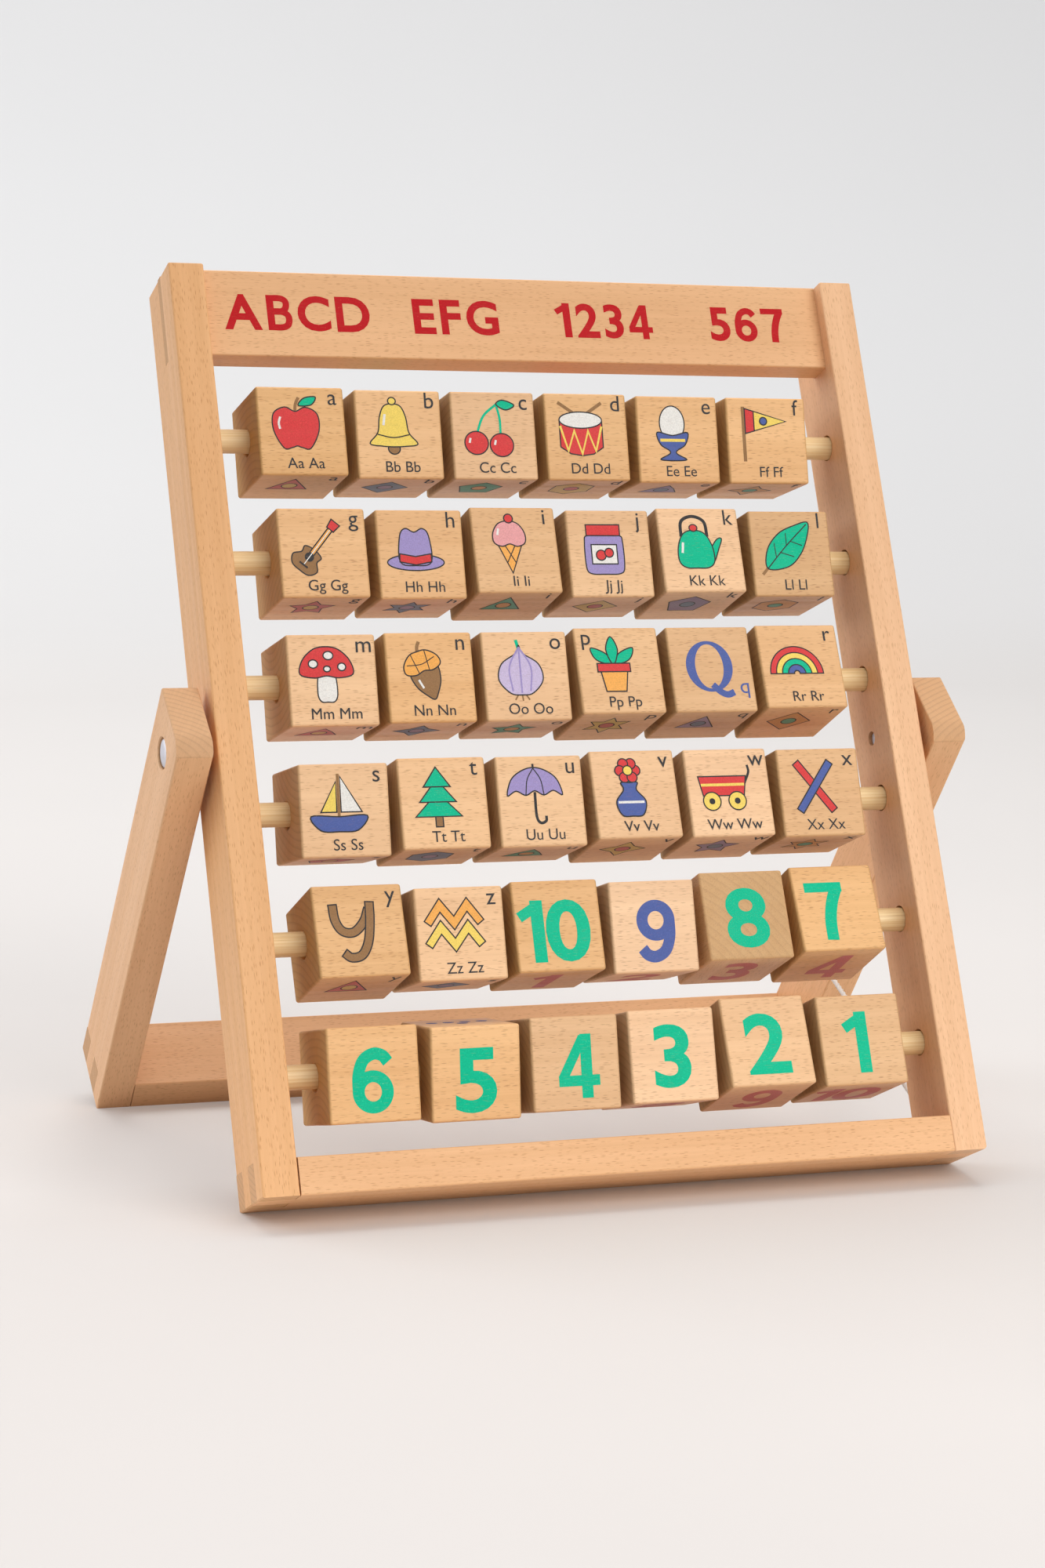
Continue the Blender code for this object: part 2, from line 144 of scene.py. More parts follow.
def blockShape(low, high, radius=0.0, steps=1):
    # A sphere's directions on a grid of rises and turns, with each eighth moved out to its own corner
    low, high = np.asarray(low, float), np.asarray(high, float)
    quarter = np.linspace(0, np.pi / 2, steps + 1)
    rise = np.concatenate([quarter - np.pi / 2, quarter])
    turn = np.concatenate([quarter + side * np.pi / 2 for side in range(4)])
    flat = np.outer(np.cos(rise), np.cos(turn)), np.outer(np.cos(rise), np.sin(turn))
    direction = np.stack([*flat, np.outer(np.sin(rise), np.ones_like(turn))], -1)
    across = np.repeat([1, -1, -1, 1], steps + 1)
    deep = np.repeat([1, 1, -1, -1], steps + 1)
    upward = np.repeat([-1, 1], steps + 1)[:, None]
    corner = np.stack(np.broadcast_arrays(across, deep, upward), -1)
    points = (low + high) / 2 + corner * ((high - low) / 2 - radius) + direction * radius
    ring = np.arange(4) * (steps + 1)
    last = (len(rise) - 1) * len(turn)
    faces = gridFaces(len(rise), len(turn)) + [ring[::-1].tolist(), (ring + last).tolist()]
    return points.reshape(-1, 3), faces


def boxBetween(*sides):
    # A plain block from its two sides along X, Y and Z, each pair in either order
    lows, highs = np.sort(np.reshape(sides, (3, 2)), 1).T
    return blockShape(lows, highs)


def moved(shape, offset, turn=np.eye(3)):
    points, faces = shape
    return points @ turn.T + np.asarray(offset), faces


def newMesh(name, shapes):
    # Several (points, faces) as one mesh
    faces, start = [], 0
    for points, shapeFaces in shapes:
        faces += [[start + corner for corner in face] for face in shapeFaces]
        start += len(points)
    mesh = bpy.data.meshes.new(name)
    mesh.from_pydata(np.concatenate([points for points, shapeFaces in shapes]).tolist(), [], faces)
    return mesh


def closeSeams(mesh):
    # Doubled points of seams and poles become one, and the faces point out
    skin = bmesh.new()
    skin.from_mesh(mesh)
    bmesh.ops.remove_doubles(skin, verts=skin.verts, dist=1e-7)
    bmesh.ops.recalc_face_normals(skin, faces=skin.faces)
    skin.to_mesh(mesh)
    skin.free()


def closedMesh(name, shapes):
    mesh = newMesh(name, shapes)
    closeSeams(mesh)
    return mesh


def evaluatedMesh(item):
    graph = bpy.context.evaluated_depsgraph_get()
    return bpy.data.meshes.new_from_object(item.evaluated_get(graph))


def cutAway(mesh, waste):
    # The mesh with the waste taken out of it
    block = linked("block", mesh)
    tool = linked("tool", closedMesh("tool", waste))
    boolean = block.modifiers.new("cut", "BOOLEAN")
    boolean.operation = "DIFFERENCE"
    boolean.solver = "EXACT"
    boolean.object = tool
    result = evaluatedMesh(block)
    result.name = mesh.name
    for used in (block, tool):
        bpy.data.objects.remove(used)
    return result


def setAttribute(mesh, name, kind, domain, values):
    attribute = mesh.attributes.new(name, kind, domain)
    field = {"FLOAT": "value", "FLOAT_VECTOR": "vector", "FLOAT_COLOR": "color"}[kind]
    attribute.data.foreach_set(field, np.asarray(values, np.float32).ravel())


grainOrders = {"x": [0, 1, 2], "y": [1, 0, 2], "z": [2, 0, 1]}


def grainOf(points, axis, heart):
    # Along the fibres, round the heart of the tree and out from it, from points seen from their middle
    turned = points[:, grainOrders[axis]]
    reach = math.hypot(heart[1], heart[2])
    outward = np.array(heart[1:]) / reach
    sideways = turned[:, 1:] @ (-outward[1], outward[0])
    return np.stack([turned[:, 0] + heart[0], sideways, turned[:, 1:] @ outward + reach], 1)


def layGrain(mesh, axis, heart, tone, warmth, middle=(0, 0, 0), endShare=1.0):
    # endGrain: how square a face cuts the fibres
    grain = grainOf(meshPoints(mesh) - middle, axis, heart)
    setAttribute(mesh, "grain", "FLOAT_VECTOR", "POINT", grain)
    ends = np.abs(faceNormals(mesh)[:, grainOrders[axis][0]])
    setAttribute(mesh, "endGrain", "FLOAT", "FACE", ends * endShare)
    setAttribute(mesh, "tone", "FLOAT", "FACE", np.full(len(ends), tone))
    setAttribute(mesh, "warmth", "FLOAT", "FACE", np.full(len(ends), warmth))


def putInPlace(mesh, turn, origin):
    points = meshPoints(mesh) @ turn.T + origin
    mesh.vertices.foreach_set("co", points.ravel())
    mesh.update()


def addPiece(name, mesh, material, slot, body, *nodes):
    mesh.materials.clear()
    mesh.materials.append(material)
    piece = linked(name, mesh)
    if body:
        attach(piece, body)
    if nodes:
        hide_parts(*nodes)
    return piece


def smoothOver(piece, crispAngle):
    # Rounded edges shade smoothly and flat faces stay flat
    piece.data.shade_smooth()
    piece.data.set_sharp_from_angle(angle=math.radians(crispAngle))
    weighted = piece.modifiers.new("flatFaces", "WEIGHTED_NORMAL")
    weighted.keep_sharp = True


# Materials: a noise is (cells per metre along X, Y and Z, detail, roughness); what is made of it is
# (low, high, value at low, value at high)
noiseBand = 0.3, 0.7  # where nearly all of a noise lies


def newMaterial(name):
    material = bpy.data.materials.new(name)
    material.use_nodes = True
    return material, material.node_tree, material.node_tree.nodes["Principled BSDF"]


def setInputs(tree, node, inputs):
    for name, value in dict(inputs).items():
        if isinstance(value, bpy.types.NodeSocket):
            tree.links.new(value, node.inputs[name])
        else:
            node.inputs[name].default_value = value


def addNode(tree, kind, inputs=(), **settings):
    node = tree.nodes.new(kind)
    for name, value in settings.items():
        setattr(node, name, value)
    setInputs(tree, node, inputs)
    return node


def scaled(tree, vector, scale):
    return addNode(tree, "ShaderNodeVectorMath", {0: vector, 1: scale}, operation="MULTIPLY").outputs[0]


def noiseOf(tree, vector, scale, detail=2.0, roughness=0.5):
    inputs = {"Vector": scaled(tree, vector, scale), "Scale": 1.0, "Detail": detail, "Roughness": roughness}
    return addNode(tree, "ShaderNodeTexNoise", inputs).outputs["Fac"]


def ranged(tree, value, fromLow, fromHigh, low, high):
    inputs = {"Value": value, "From Min": fromLow, "From Max": fromHigh, "To Min": low, "To Max": high}
    return addNode(tree, "ShaderNodeMapRange", inputs).outputs[0]


def math2(tree, operation, first, second):
    return addNode(tree, "ShaderNodeMath", {0: first, 1: second}, operation=operation).outputs[0]


def between(tree, amount, first, second):
    inputs = {"Factor": amount, "A": first, "B": second}
    return addNode(tree, "ShaderNodeMix", inputs).outputs[0]


def rgba(colour, level=1.0):
    return (*[channel * level for channel in colour], 1.0)


def mixed(tree, amount, first, second):
    inputs = {"Fac": amount, "Color1": first, "Color2": second}
    return addNode(tree, "ShaderNodeMixRGB", inputs).outputs[0]


def stained(tree, colour, noise, levels, stain):
    return mixed(tree, ranged(tree, noise, *levels), colour, rgba(stain))


def attributeOf(tree, name, output):
    return addNode(tree, "ShaderNodeAttribute", attribute_name=name).outputs[output]


def objectPlace(tree):
    return addNode(tree, "ShaderNodeTexCoord").outputs["Object"]


def addBump(tree, shader, height, strength, distance):
    inputs = {"Height": height, "Strength": strength, "Distance": distance}
    bump = addNode(tree, "ShaderNodeBump", inputs)
    tree.links.new(bump.outputs["Normal"], shader.inputs["Normal"])


frameBeech = {
    "pale": (0.845, 0.482, 0.24),
    "deep": (0.69, 0.365, 0.165),
    "fleck": (0.47, 0.20, 0.066),
    "end": (0.60, 0.345, 0.18),
    "ringWidth": 1.9,  # mm
    "fleckSize": (3.0, 0.46),  # mm along and across the grain, of the cell that holds one
    "fleckStrength": 0.50,
    "roughness": 0.44,
}
cubeBeech = {
    "pale": (0.88, 0.525, 0.248),
    "deep": (0.68, 0.36, 0.15),
    "fleck": (0.42, 0.18, 0.065),
    # end grain, darker than the frame's: partly its own colour and partly painted shade of the cube sides that
    # face each other
    "end": (0.52, 0.31, 0.135),
    "ringWidth": 2.6,
    "fleckSize": (3.3, 0.46),
    "fleckStrength": 0.54,
    "roughness": 0.44,
}
beechGrain = {  # of both
    "ringUnit": 0.314,  # one ring's share of the wave's own unit
    "ringStretch": 0.05,  # along the fibres
    "ringWander": {"Distortion": 0.9, "Detail": 1.0, "Detail Scale": 1.3},
    "ringDepth": 0.14,
    "noises": {
        "fibres": ((24, 1500, 1500), 3.0, 0.6),
        "streaks": ((6, 260, 260), 2.0),
        "clouds": ((9, 45, 45), 2.0),
        "rays": ((300, 2200, 160), 2.0),
    },
    "depths": {
        "streaks": (*noiseBand, 0.0, 0.26),
        "clouds": (*noiseBand, -0.12, 0.30),
        "fibres": (0.25, 0.75, -0.10, 0.16),
    },
    "fleckCore": (0.16, 0.36, 1.0, 0.0),  # from the middle of its cell
    "fleckKept": (0.08, 0.5, 0.0, 1.0),  # by lot
    "endRings": (0.60, 1.0, 0.0, 0.42),
    "endRays": (*noiseBand, 0.0, 0.16),
    "endLevels": (1.12, 0.72),  # of the end colour, between the rings and on them
    "endRoughness": 0.15,  # added there
    "sheen": (-0.05, 0.07),  # spread of the roughness
    "gloss": (0.0, 1.0, 0.30, 0.10),  # by end grain
    "fibreRelief": 0.35,  # beside a fleck's
    "bump": (0.35, 0.12 * mm),
}


def fleckMask(tree, grain, size):
    # Short dark pores: the middles of stretched cells, some of them left out
    along, across = 1 / (size[0] * mm), 1 / (size[1] * mm)
    inputs = {"Vector": scaled(tree, grain, (along, across, across)), "Scale": 1.0}
    cells = addNode(tree, "ShaderNodeTexVoronoi", inputs)
    core = ranged(tree, cells.outputs["Distance"], *beechGrain["fleckCore"])
    keep = addNode(tree, "ShaderNodeSeparateColor", {0: cells.outputs["Color"]}).outputs[0]
    return math2(tree, "MULTIPLY", core, ranged(tree, keep, *beechGrain["fleckKept"]))


def growthRings(tree, grain, width):
    scale = beechGrain["ringUnit"] / (width * mm)
    stretched = scaled(tree, grain, (beechGrain["ringStretch"] * scale, scale, scale))
    inputs = {"Vector": stretched, "Scale": 1.0, **beechGrain["ringWander"]}
    settings = {"wave_type": "RINGS", "rings_direction": "X", "wave_profile": "SAW"}
    return addNode(tree, "ShaderNodeTexWave", inputs, **settings).outputs["Fac"]


def makeBeech(name, look):
    # Sides and ends are coloured apart, mixed by the end grain of each face, then toned for their piece
    material, tree, shader = newMaterial(name)
    grain = attributeOf(tree, "grain", "Vector")
    endGrain = attributeOf(tree, "endGrain", "Fac")
    rings = growthRings(tree, grain, look["ringWidth"])
    noises = {kind: noiseOf(tree, grain, *noise) for kind, noise in beechGrain["noises"].items()}
    flecks = fleckMask(tree, grain, look["fleckSize"])
    depth = math2(tree, "MULTIPLY", rings, beechGrain["ringDepth"])
    for kind, levels in beechGrain["depths"].items():
        depth = math2(tree, "ADD", depth, ranged(tree, noises[kind], *levels))
    side = mixed(tree, depth, rgba(look["pale"]), rgba(look["deep"]))
    fleckAmount = math2(tree, "MULTIPLY", flecks, look["fleckStrength"])
    side = mixed(tree, fleckAmount, side, rgba(look["fleck"]))
    endRings = ranged(tree, rings, *beechGrain["endRings"])
    endDepth = math2(tree, "ADD", endRings, ranged(tree, noises["rays"], *beechGrain["endRays"]))
    end = mixed(tree, endDepth, *(rgba(look["end"], level) for level in beechGrain["endLevels"]))
    inputs = {
        "Color": mixed(tree, endGrain, side, end),
        "Saturation": attributeOf(tree, "warmth", "Fac"),
        "Value": attributeOf(tree, "tone", "Fac"),
    }
    roughness = [look["roughness"] + change for change in beechGrain["sheen"]]
    sheen = ranged(tree, noises["streaks"], *noiseBand, *roughness)
    endRough = math2(tree, "MULTIPLY", endGrain, beechGrain["endRoughness"])
    setInputs(tree, shader, {
        "Base Color": addNode(tree, "ShaderNodeHueSaturation", inputs).outputs[0],
        "Roughness": math2(tree, "ADD", sheen, endRough),
        "Specular IOR Level": ranged(tree, endGrain, *beechGrain["gloss"]),
    })
    raised = math2(tree, "MULTIPLY", noises["fibres"], beechGrain["fibreRelief"])
    addBump(tree, shader, math2(tree, "SUBTRACT", raised, flecks), *beechGrain["bump"])
    return material


beech = makeBeech("beech", frameBeech)
cubeWood = makeBeech("cubeBeech", cubeBeech)

metalWear = {
    "noises": {"stains": ((420, 420, 420), 4.0, 0.6), "scratches": ((900, 5200, 700), 2.0)},
    "shader": {"Metallic": 1.0},
    "bump": ("scratches", 0.12, 0.04 * mm),
}
dulled = 0.45, 0.75, 0.0, 0.6
stainedLooks = {  # noises, and the base colour with the stains, roughness and bump that are made of them
    "bamboo": {
        "noises": {
            "bundles": ((9, 1700, 1700), 2.0),
            "wide": ((5, 420, 420), 2.0),
            "pores": ((60, 4200, 4200), 2.0),
        },
        "base": (0.94, 0.73, 0.41),
        "stains": (
            ("bundles", (0.42, 0.72, 0.0, 0.75), (0.74, 0.47, 0.19)),
            ("wide", (0.35, 0.7, 0.0, 0.35), (0.74, 0.47, 0.19)),
            ("pores", (0.62, 0.75, 0.0, 0.6), (0.42, 0.23, 0.07)),
        ),
        "roughness": ("wide", *noiseBand, 0.38, 0.55),
        "bump": ("bundles", 0.3, 0.15 * mm),
    },
    "zincSteel": {
        **metalWear,
        "base": (0.54, 0.535, 0.58),
        "stains": (("stains", dulled, (0.42, 0.415, 0.45)),),
        "roughness": ("scratches", *noiseBand, 0.34, 0.50),
    },
    "insertBrass": {
        **metalWear,
        "base": (0.72, 0.56, 0.27),
        "stains": (("stains", dulled, (0.42, 0.30, 0.13)),),
        "roughness": ("scratches", *noiseBand, 0.28, 0.46),
    },
    "whiteCotton": {
        "attribute": "yarn",  # along the cord, round it
        "noises": {"fibres": ((900, 60, 60), 3.0, 0.6), "soil": ((40, 2, 2), 2.0)},
        "base": (0.88, 0.85, 0.81),
        "stains": (
            ("fibres", (*noiseBand, 0.0, 0.5), (0.62, 0.57, 0.52)),
            ("soil", (0.4, 0.8, 0.0, 0.4), (0.66, 0.58, 0.48)),
        ),
        "shader": {"Roughness": 0.9, "Sheen Weight": 0.3},
        "bump": ("fibres", 0.5, 0.1 * mm),
    },
    "driedGlue": {
        "noises": {"clouds": ((900, 900, 900), 3.0)},
        "base": (0.80, 0.72, 0.68),
        "stains": (("clouds", (*noiseBand, 0.0, 1.0), (0.72, 0.60, 0.52)),),
        "roughness": ("clouds", *noiseBand, 0.3, 0.5),
        "bump": ("clouds", 0.4, 0.2 * mm),
    },
}


def makeStained(name, look):
    material, tree, shader = newMaterial(name)
    place = attributeOf(tree, look["attribute"], "Vector") if "attribute" in look else objectPlace(tree)
    noises = {kind: noiseOf(tree, place, *noise) for kind, noise in look["noises"].items()}
    colour = rgba(look["base"])
    for kind, levels, stain in look["stains"]:
        colour = stained(tree, colour, noises[kind], levels, stain)
    setInputs(tree, shader, {"Base Color": colour, **look.get("shader", {})})
    if "roughness" in look:
        kind, *levels = look["roughness"]
        setInputs(tree, shader, {"Roughness": ranged(tree, noises[kind], *levels)})
    kind, *relief = look["bump"]
    addBump(tree, shader, noises[kind], *relief)
    return material


bamboo, zincSteel, insertBrass, whiteCotton, driedGlue = (
    makeStained(name, look) for name, look in stainedLooks.items()
)

inkLook = {
    "specks": ((2400, 2400, 2400), 2.0),
    "speckLevel": (*noiseBand, 0.90, 1.10),
    "chips": (0.70, 0.78, 0.0, 0.25),
    "poreShow": 0.12,
    "patches": ((60, 220, 220), 2.0),
    "roughness": (*noiseBand, 0.44, 0.60),
    "gloss": 0.15,
    "bump": (0.25, -0.08 * mm),
}


def makeInk(look):
    # Screen-printed: its own colour in a fine speckle, with chips and the wood's pores showing through
    material, tree, shader = newMaterial("printInk")
    grain = attributeOf(tree, "grain", "Vector")
    specks = noiseOf(tree, grain, *look["specks"])
    patches = noiseOf(tree, grain, *look["patches"])
    flecks = fleckMask(tree, grain, cubeBeech["fleckSize"])
    level = ranged(tree, specks, *look["speckLevel"])
    inputs = {"Color": attributeOf(tree, "ink", "Color"), "Value": level}
    speckled = addNode(tree, "ShaderNodeHueSaturation", inputs).outputs[0]
    worn = stained(tree, speckled, specks, look["chips"], cubeBeech["pale"])
    pores = math2(tree, "MULTIPLY", flecks, look["poreShow"])
    setInputs(tree, shader, {
        "Base Color": mixed(tree, pores, worn, rgba(cubeBeech["fleck"])),
        "Roughness": ranged(tree, patches, *look["roughness"]),
        "Specular IOR Level": look["gloss"],
    })
    addBump(tree, shader, flecks, *look["bump"])
    return material


printInk = makeInk(inkLook)
print("materials made:", len(bpy.data.materials))

# Stay cord: two strands laid together, from a hole in the right leg to one in the back of the right stile
stayCord = {
    "diameter": 1.8 * mm,
    "lay": 4.2 * mm,  # one full turn of the two strands
    "waist": 0.66,  # the narrow way across, as a share of the wide one
    "spacing": 0.35 * mm,
    "perSpan": 24,  # points between two of the route, before they are spaced evenly
    "sides": 20,
    "level": (0.0, 0.30, -0.95),  # no part of the route runs this way, and the lay is counted from it
    "route": (  # x from the middle, y and z from the pivot
        (0.1336, 0.0646, -0.0887), (0.1316, 0.0646, -0.0887), (0.1291, 0.0646, -0.0887),
        (0.1279, 0.0644, -0.0888), (0.1268, 0.0638, -0.0889), (0.1258, 0.0630, -0.0892),
        (0.1252, 0.0620, -0.0895), (0.1249, 0.0608, -0.0899), (0.1241, 0.0487, -0.0937),
        (0.1229, 0.0305, -0.0995), (0.1215, 0.0103, -0.1058), (0.1202, -0.0099, -0.1122),
        (0.1189, -0.0281, -0.1180), (0.1181, -0.0402, -0.1218), (0.1180, -0.0421, -0.1221),
        (0.1180, -0.0439, -0.1215), (0.1180, -0.0469, -0.1201), (0.1180, -0.0498, -0.1186),
    ),
    "legMouth": (0.1279, 0.0644, -0.0888),
    "stileMouth": (0.1181, -0.0402, -0.1218),
}


def smoothPath(points, perSpan, closed=False):
    # Each span is the cubic that runs parallel, at each point, to the line between its neighbours
    points = np.asarray(points, float)
    if closed:
        before, start = np.roll(points, 1, 0), points
        stop, after = np.roll(points, -1, 0), np.roll(points, -2, 0)
    else:
        padded = np.vstack([2 * points[0] - points[1], points, 2 * points[-1] - points[-2]])
        before, start, stop, after = padded[:-3], padded[1:-2], padded[2:-1], padded[3:]
    t = np.linspace(0, 1, perSpan, endpoint=False)[None, :, None]
    before, start, stop, after = (part[:, None, :] for part in (before, start, stop, after))
    bend = (2 * before - 5 * start + 4 * stop - after) * t**2
    bend = bend + (3 * start - before - 3 * stop + after) * t**3
    path = (start + ((stop - before) * t + bend) / 2).reshape(-1, points.shape[1])
    return path if closed else np.vstack([path, points[-1]])


def evenlySpaced(path, spacing):
    run = np.concatenate([[0], np.cumsum(np.linalg.norm(np.diff(path, axis=0), axis=1))])
    marks = np.linspace(0, run[-1], int(run[-1] / spacing) + 1)
    return np.stack([np.interp(marks, run, path[:, axis]) for axis in range(3)], 1), marks


def addStayCord(look):
    # A two-lobed ring, waist + (1 - waist) x cos squared wide, turning once in each lay along the route
    sides = look["sides"]
    route = smoothPath(np.array(look["route"]) + pivot, look["perSpan"])
    path, marks = evenlySpaced(route, look["spacing"])
    tangent = np.gradient(path, axis=0)
    tangent /= np.linalg.norm(tangent, axis=1, keepdims=True)
    aside = np.cross(tangent, look["level"])
    aside /= np.linalg.norm(aside, axis=1, keepdims=True)
    upward = np.cross(tangent, aside)
    angle = np.linspace(0, 2 * np.pi, sides, endpoint=False)
    twist = angle[None, :] + 2 * np.pi * marks[:, None] / look["lay"]
    width = look["diameter"] / 2 * (look["waist"] + (1 - look["waist"]) * np.cos(angle) ** 2)
    rounds = aside[:, None, :] * np.cos(twist)[..., None] + upward[:, None, :] * np.sin(twist)[..., None]
    skin = (path[:, None, :] + rounds * width[None, :, None]).reshape(-1, 3)
    points = np.concatenate([path[:1].repeat(sides, 0), skin, path[-1:].repeat(sides, 0)])
    mesh = newMesh("stay_cord_yarn", [(points, gridFaces(len(path) + 2, sides))])
    run = np.concatenate([marks[:1], marks, marks[-1:]]).repeat(sides)
    around = np.tile(np.stack([np.cos(angle), np.sin(angle)], 1), (len(path) + 2, 1))
    setAttribute(mesh, "yarn", "FLOAT_VECTOR", "POINT", np.column_stack([run, around]))
    closeSeams(mesh)
    mesh.shade_smooth()
    cord = addPiece("stay_cord_yarn", mesh, whiteCotton, "white_cord", None, "stay_cord")
    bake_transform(cord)


addStayCord(stayCord)
print("stay cord laid")

# Planed bars of the frame and the stand
planedStock = {
    "edgeRound": 0.7 * mm,
    "roundSteps": 5,
    "endEase": (0.4 * mm, 1.0 * mm),  # taken off the outer bottom edge at the left and the right
    "shoulderGap": {"bottom_rail": (0.3 * mm, 0)},  # left open beside the left and the right upright
    "fingers": 4,
    "glueLine": 0.07 * mm,  # that shows between two fingers
    "tongue": 3.5 * mm,  # of the title board, at its back
    "sawRoom": 6 * mm,  # round the stock
    "crispAngle": 35,
}
rodHoles = {"radius": 4.5 * mm, "depth": 8 * mm, "rise": 0.2 * mm, "sides": 64}
pivotHoles = {
    "boltRadius": 2.5 * mm,
    "pocketRadius": 4.3 * mm,
    "pocketDepth": 9.6 * mm,
    "headRadius": 5.2 * mm,
    "headDepth": 2.1 * mm,
    "rimRound": 0.35 * mm,
    "sides": 64,
}
cordHoles = {
    "radius": 1.3 * mm,
    "depth": 8 * mm,
    "mouth": 2.2 * mm,
    "legDrop": 109.7 * mm,
    "stileHeight": 18 * mm,
    "sides": 32,
}
legNose = {"radius": 8 * mm, "setback": 7 * mm, "steps": 10}
floorBlock = {"half": 0.3, "thick": 0.03}
over = 2 * mm  # how far a cut runs past a face
barGrains = {  # heart of the tree seen from the bar in mm, tone and warmth
    "left_stile": ((310, -26, 34), 0.98, 1.05),
    "right_stile": ((1740, 31, 40), 1.04, 0.93),
    "bottom_rail": ((2890, 22, -36), 0.985, 1.0),
    "title_board": ((4120, 44, 25), 0.96, 1.0),
    "left_leg": ((5230, 28, 53), 1.0, 0.97),
    "right_leg": ((6480, -42, 80), 0.99, 0.99),
    "stand_crossbar": ((7810, -33, 28), 0.93, 0.99),
}
rodRows = range(1, 7)


def holeAlongX(side, runs, offset, sides):
    # Straight runs, each (from, to, radius) from the middle out, with a cone from one to the next
    profile = [(x, radius) for start, stop, radius in runs for x in (start, stop)]
    closed = [(profile[0][0], 0.0), *profile, (profile[-1][0], 0.0)]
    points, faces = turnedShape(closed, sides)
    return points * (side, 1, 1) + np.asarray(offset), faces


def fingerRoom(low, high, first, *sides):
    # Every second finger's room across the depth of the stock, between sides along X and along Z
    finger = (high[1] - low[1]) / planedStock["fingers"]
    half = planedStock["glueLine"] / 2
    rooms = []
    for index in range(first, planedStock["fingers"], 2):
        front = low[1] + index * finger - (over if index == 0 else half)
        last = index == planedStock["fingers"] - 1
        back = low[1] + (index + 1) * finger + (over if last else half)
        rooms.append(boxBetween(*sides[:2], front, back, *sides[2:]))
    return rooms


def easeWaste(side, low, high):
    # A square rod laid on its corner along the outer bottom edge of a joint
    half = planedStock["endEase"][side > 0] / math.sqrt(2)
    rod = boxBetween(-half, half, low[1] - over, high[1] + over, -half, half)
    slant = math.sqrt(0.5)
    onItsCorner = np.array([[slant, 0, slant], [0, 1, 0], [-slant, 0, slant]])
    return moved(rod, (high[0] if side > 0 else low[0], 0, low[2]), onItsCorner)


def underFloor(turn):
    # Everything below the floor, seen square to a bar: the edges that the rack stands on are worn to it
    half, thick = floorBlock["half"], floorBlock["thick"]
    points, faces = boxBetween(-half, half, -half, half, -thick, 0.0)
    return (points - pivot) @ turn, faces


def addBar(name, low, high, waste, axis, turn, body, sawn, eased):
    # Planed round all its edges, sawn square at the ends in sawn, cut, and eased at the sides in eased
    heart, tone, warmth = barGrains[name]
    along = "xyz".index(axis)
    longLow, longHigh = low.copy(), high.copy()
    saws = []
    for end in sawn:
        sawLow, sawHigh = low - planedStock["sawRoom"], high + planedStock["sawRoom"]
        (sawLow if end > 0 else sawHigh)[along] = (high if end > 0 else low)[along]
        (longHigh if end > 0 else longLow)[along] += end * over
        saws.append(blockShape(sawLow, sawHigh))
    shape = blockShape(longLow, longHigh, planedStock["edgeRound"], planedStock["roundSteps"])
    mesh = closedMesh(name + "_wood", [shape])
    for cuts in (saws, waste, [easeWaste(side, low, high) for side in eased], [underFloor(turn)]):
        mesh = cutAway(mesh, cuts) if cuts else mesh
    layGrain(mesh, axis, np.array(heart) * mm, tone, warmth, (low + high) / 2)
    putInPlace(mesh, turn, pivot)
    smoothOver(addPiece(name + "_wood", mesh, beech, "beech", body, name), planedStock["crispAngle"])


def addRail(name, upright, turn, body):
    low, high = squareBox(name, turn)
    inner = squareBox(upright, turn)[0][0]
    waste = []
    for side in (-1, 1):
        shoulder = inner - planedStock["shoulderGap"].get(name, (0, 0))[side > 0]
        ends = side * shoulder, side * (high[0] + over)
        waste += fingerRoom(low, high, 0, *ends, low[2] - over, high[2] + over)
    addBar(name, low, high, waste, "x", turn, body, (-1, 1), (-1, 1))


def uprightParts(name, rail, turn):
    # Box, distances of the inner and outer face from the middle, and room for the rail's fingers
    low, high = squareBox(name, turn)
    inner, outer = sorted((abs(low[0]), abs(high[0])))
    top = squareBox(rail, turn)[1][2] + planedStock["glueLine"] / 2
    rooms = fingerRoom(low, high, 1, low[0] - over, high[0] + over, low[2] - over, top)
    return low, high, inner, outer, rooms


def addStile(sideName, side):
    name = sideName + "_stile"
    low, high, inner, outer, waste = uprightParts(name, "bottom_rail", leanTurn)
    boardLow, boardHigh = squareBox("title_board", leanTurn)
    half = planedStock["glueLine"] / 2
    slotDepth = boardHigh[1] - planedStock["tongue"] - half, boardHigh[1] + half
    slotHeight = boardLow[2] - half, high[2] + over
    waste.append(boxBetween(low[0] - over, high[0] + over, *slotDepth, *slotHeight))
    for row in rodRows:
        rodLow, rodHigh = squareBox(f"rod_{row}", leanTurn)
        axisZ = (rodLow[2] + rodHigh[2]) / 2 + rodHoles["rise"]
        run = inner - over, inner + rodHoles["depth"], rodHoles["radius"]
        waste.append(holeAlongX(side, [run], (0, 0, axisZ), rodHoles["sides"]))
    pocket = outer - pivotHoles["pocketDepth"]
    runs = [(inner - over, pocket, pivotHoles["boltRadius"])]
    runs.append((pocket, outer + over, pivotHoles["pocketRadius"]))
    waste.append(holeAlongX(side, runs, (0, 0, 0), pivotHoles["sides"]))
    if side > 0:
        run = -cordHoles["depth"], over, cordHoles["radius"]
        hole = holeAlongX(1, [run], (0, 0, 0), cordHoles["sides"])
        mouth = (inner + outer) / 2, high[1], low[2] + cordHoles["stileHeight"]
        backwards = np.array([[0, -1, 0], [1, 0, 0], [0, 0, 1]])
        waste.append(moved(hole, mouth, backwards))
    addBar(name, low, high, waste, "z", leanTurn, "rack", (-1,), (side,))


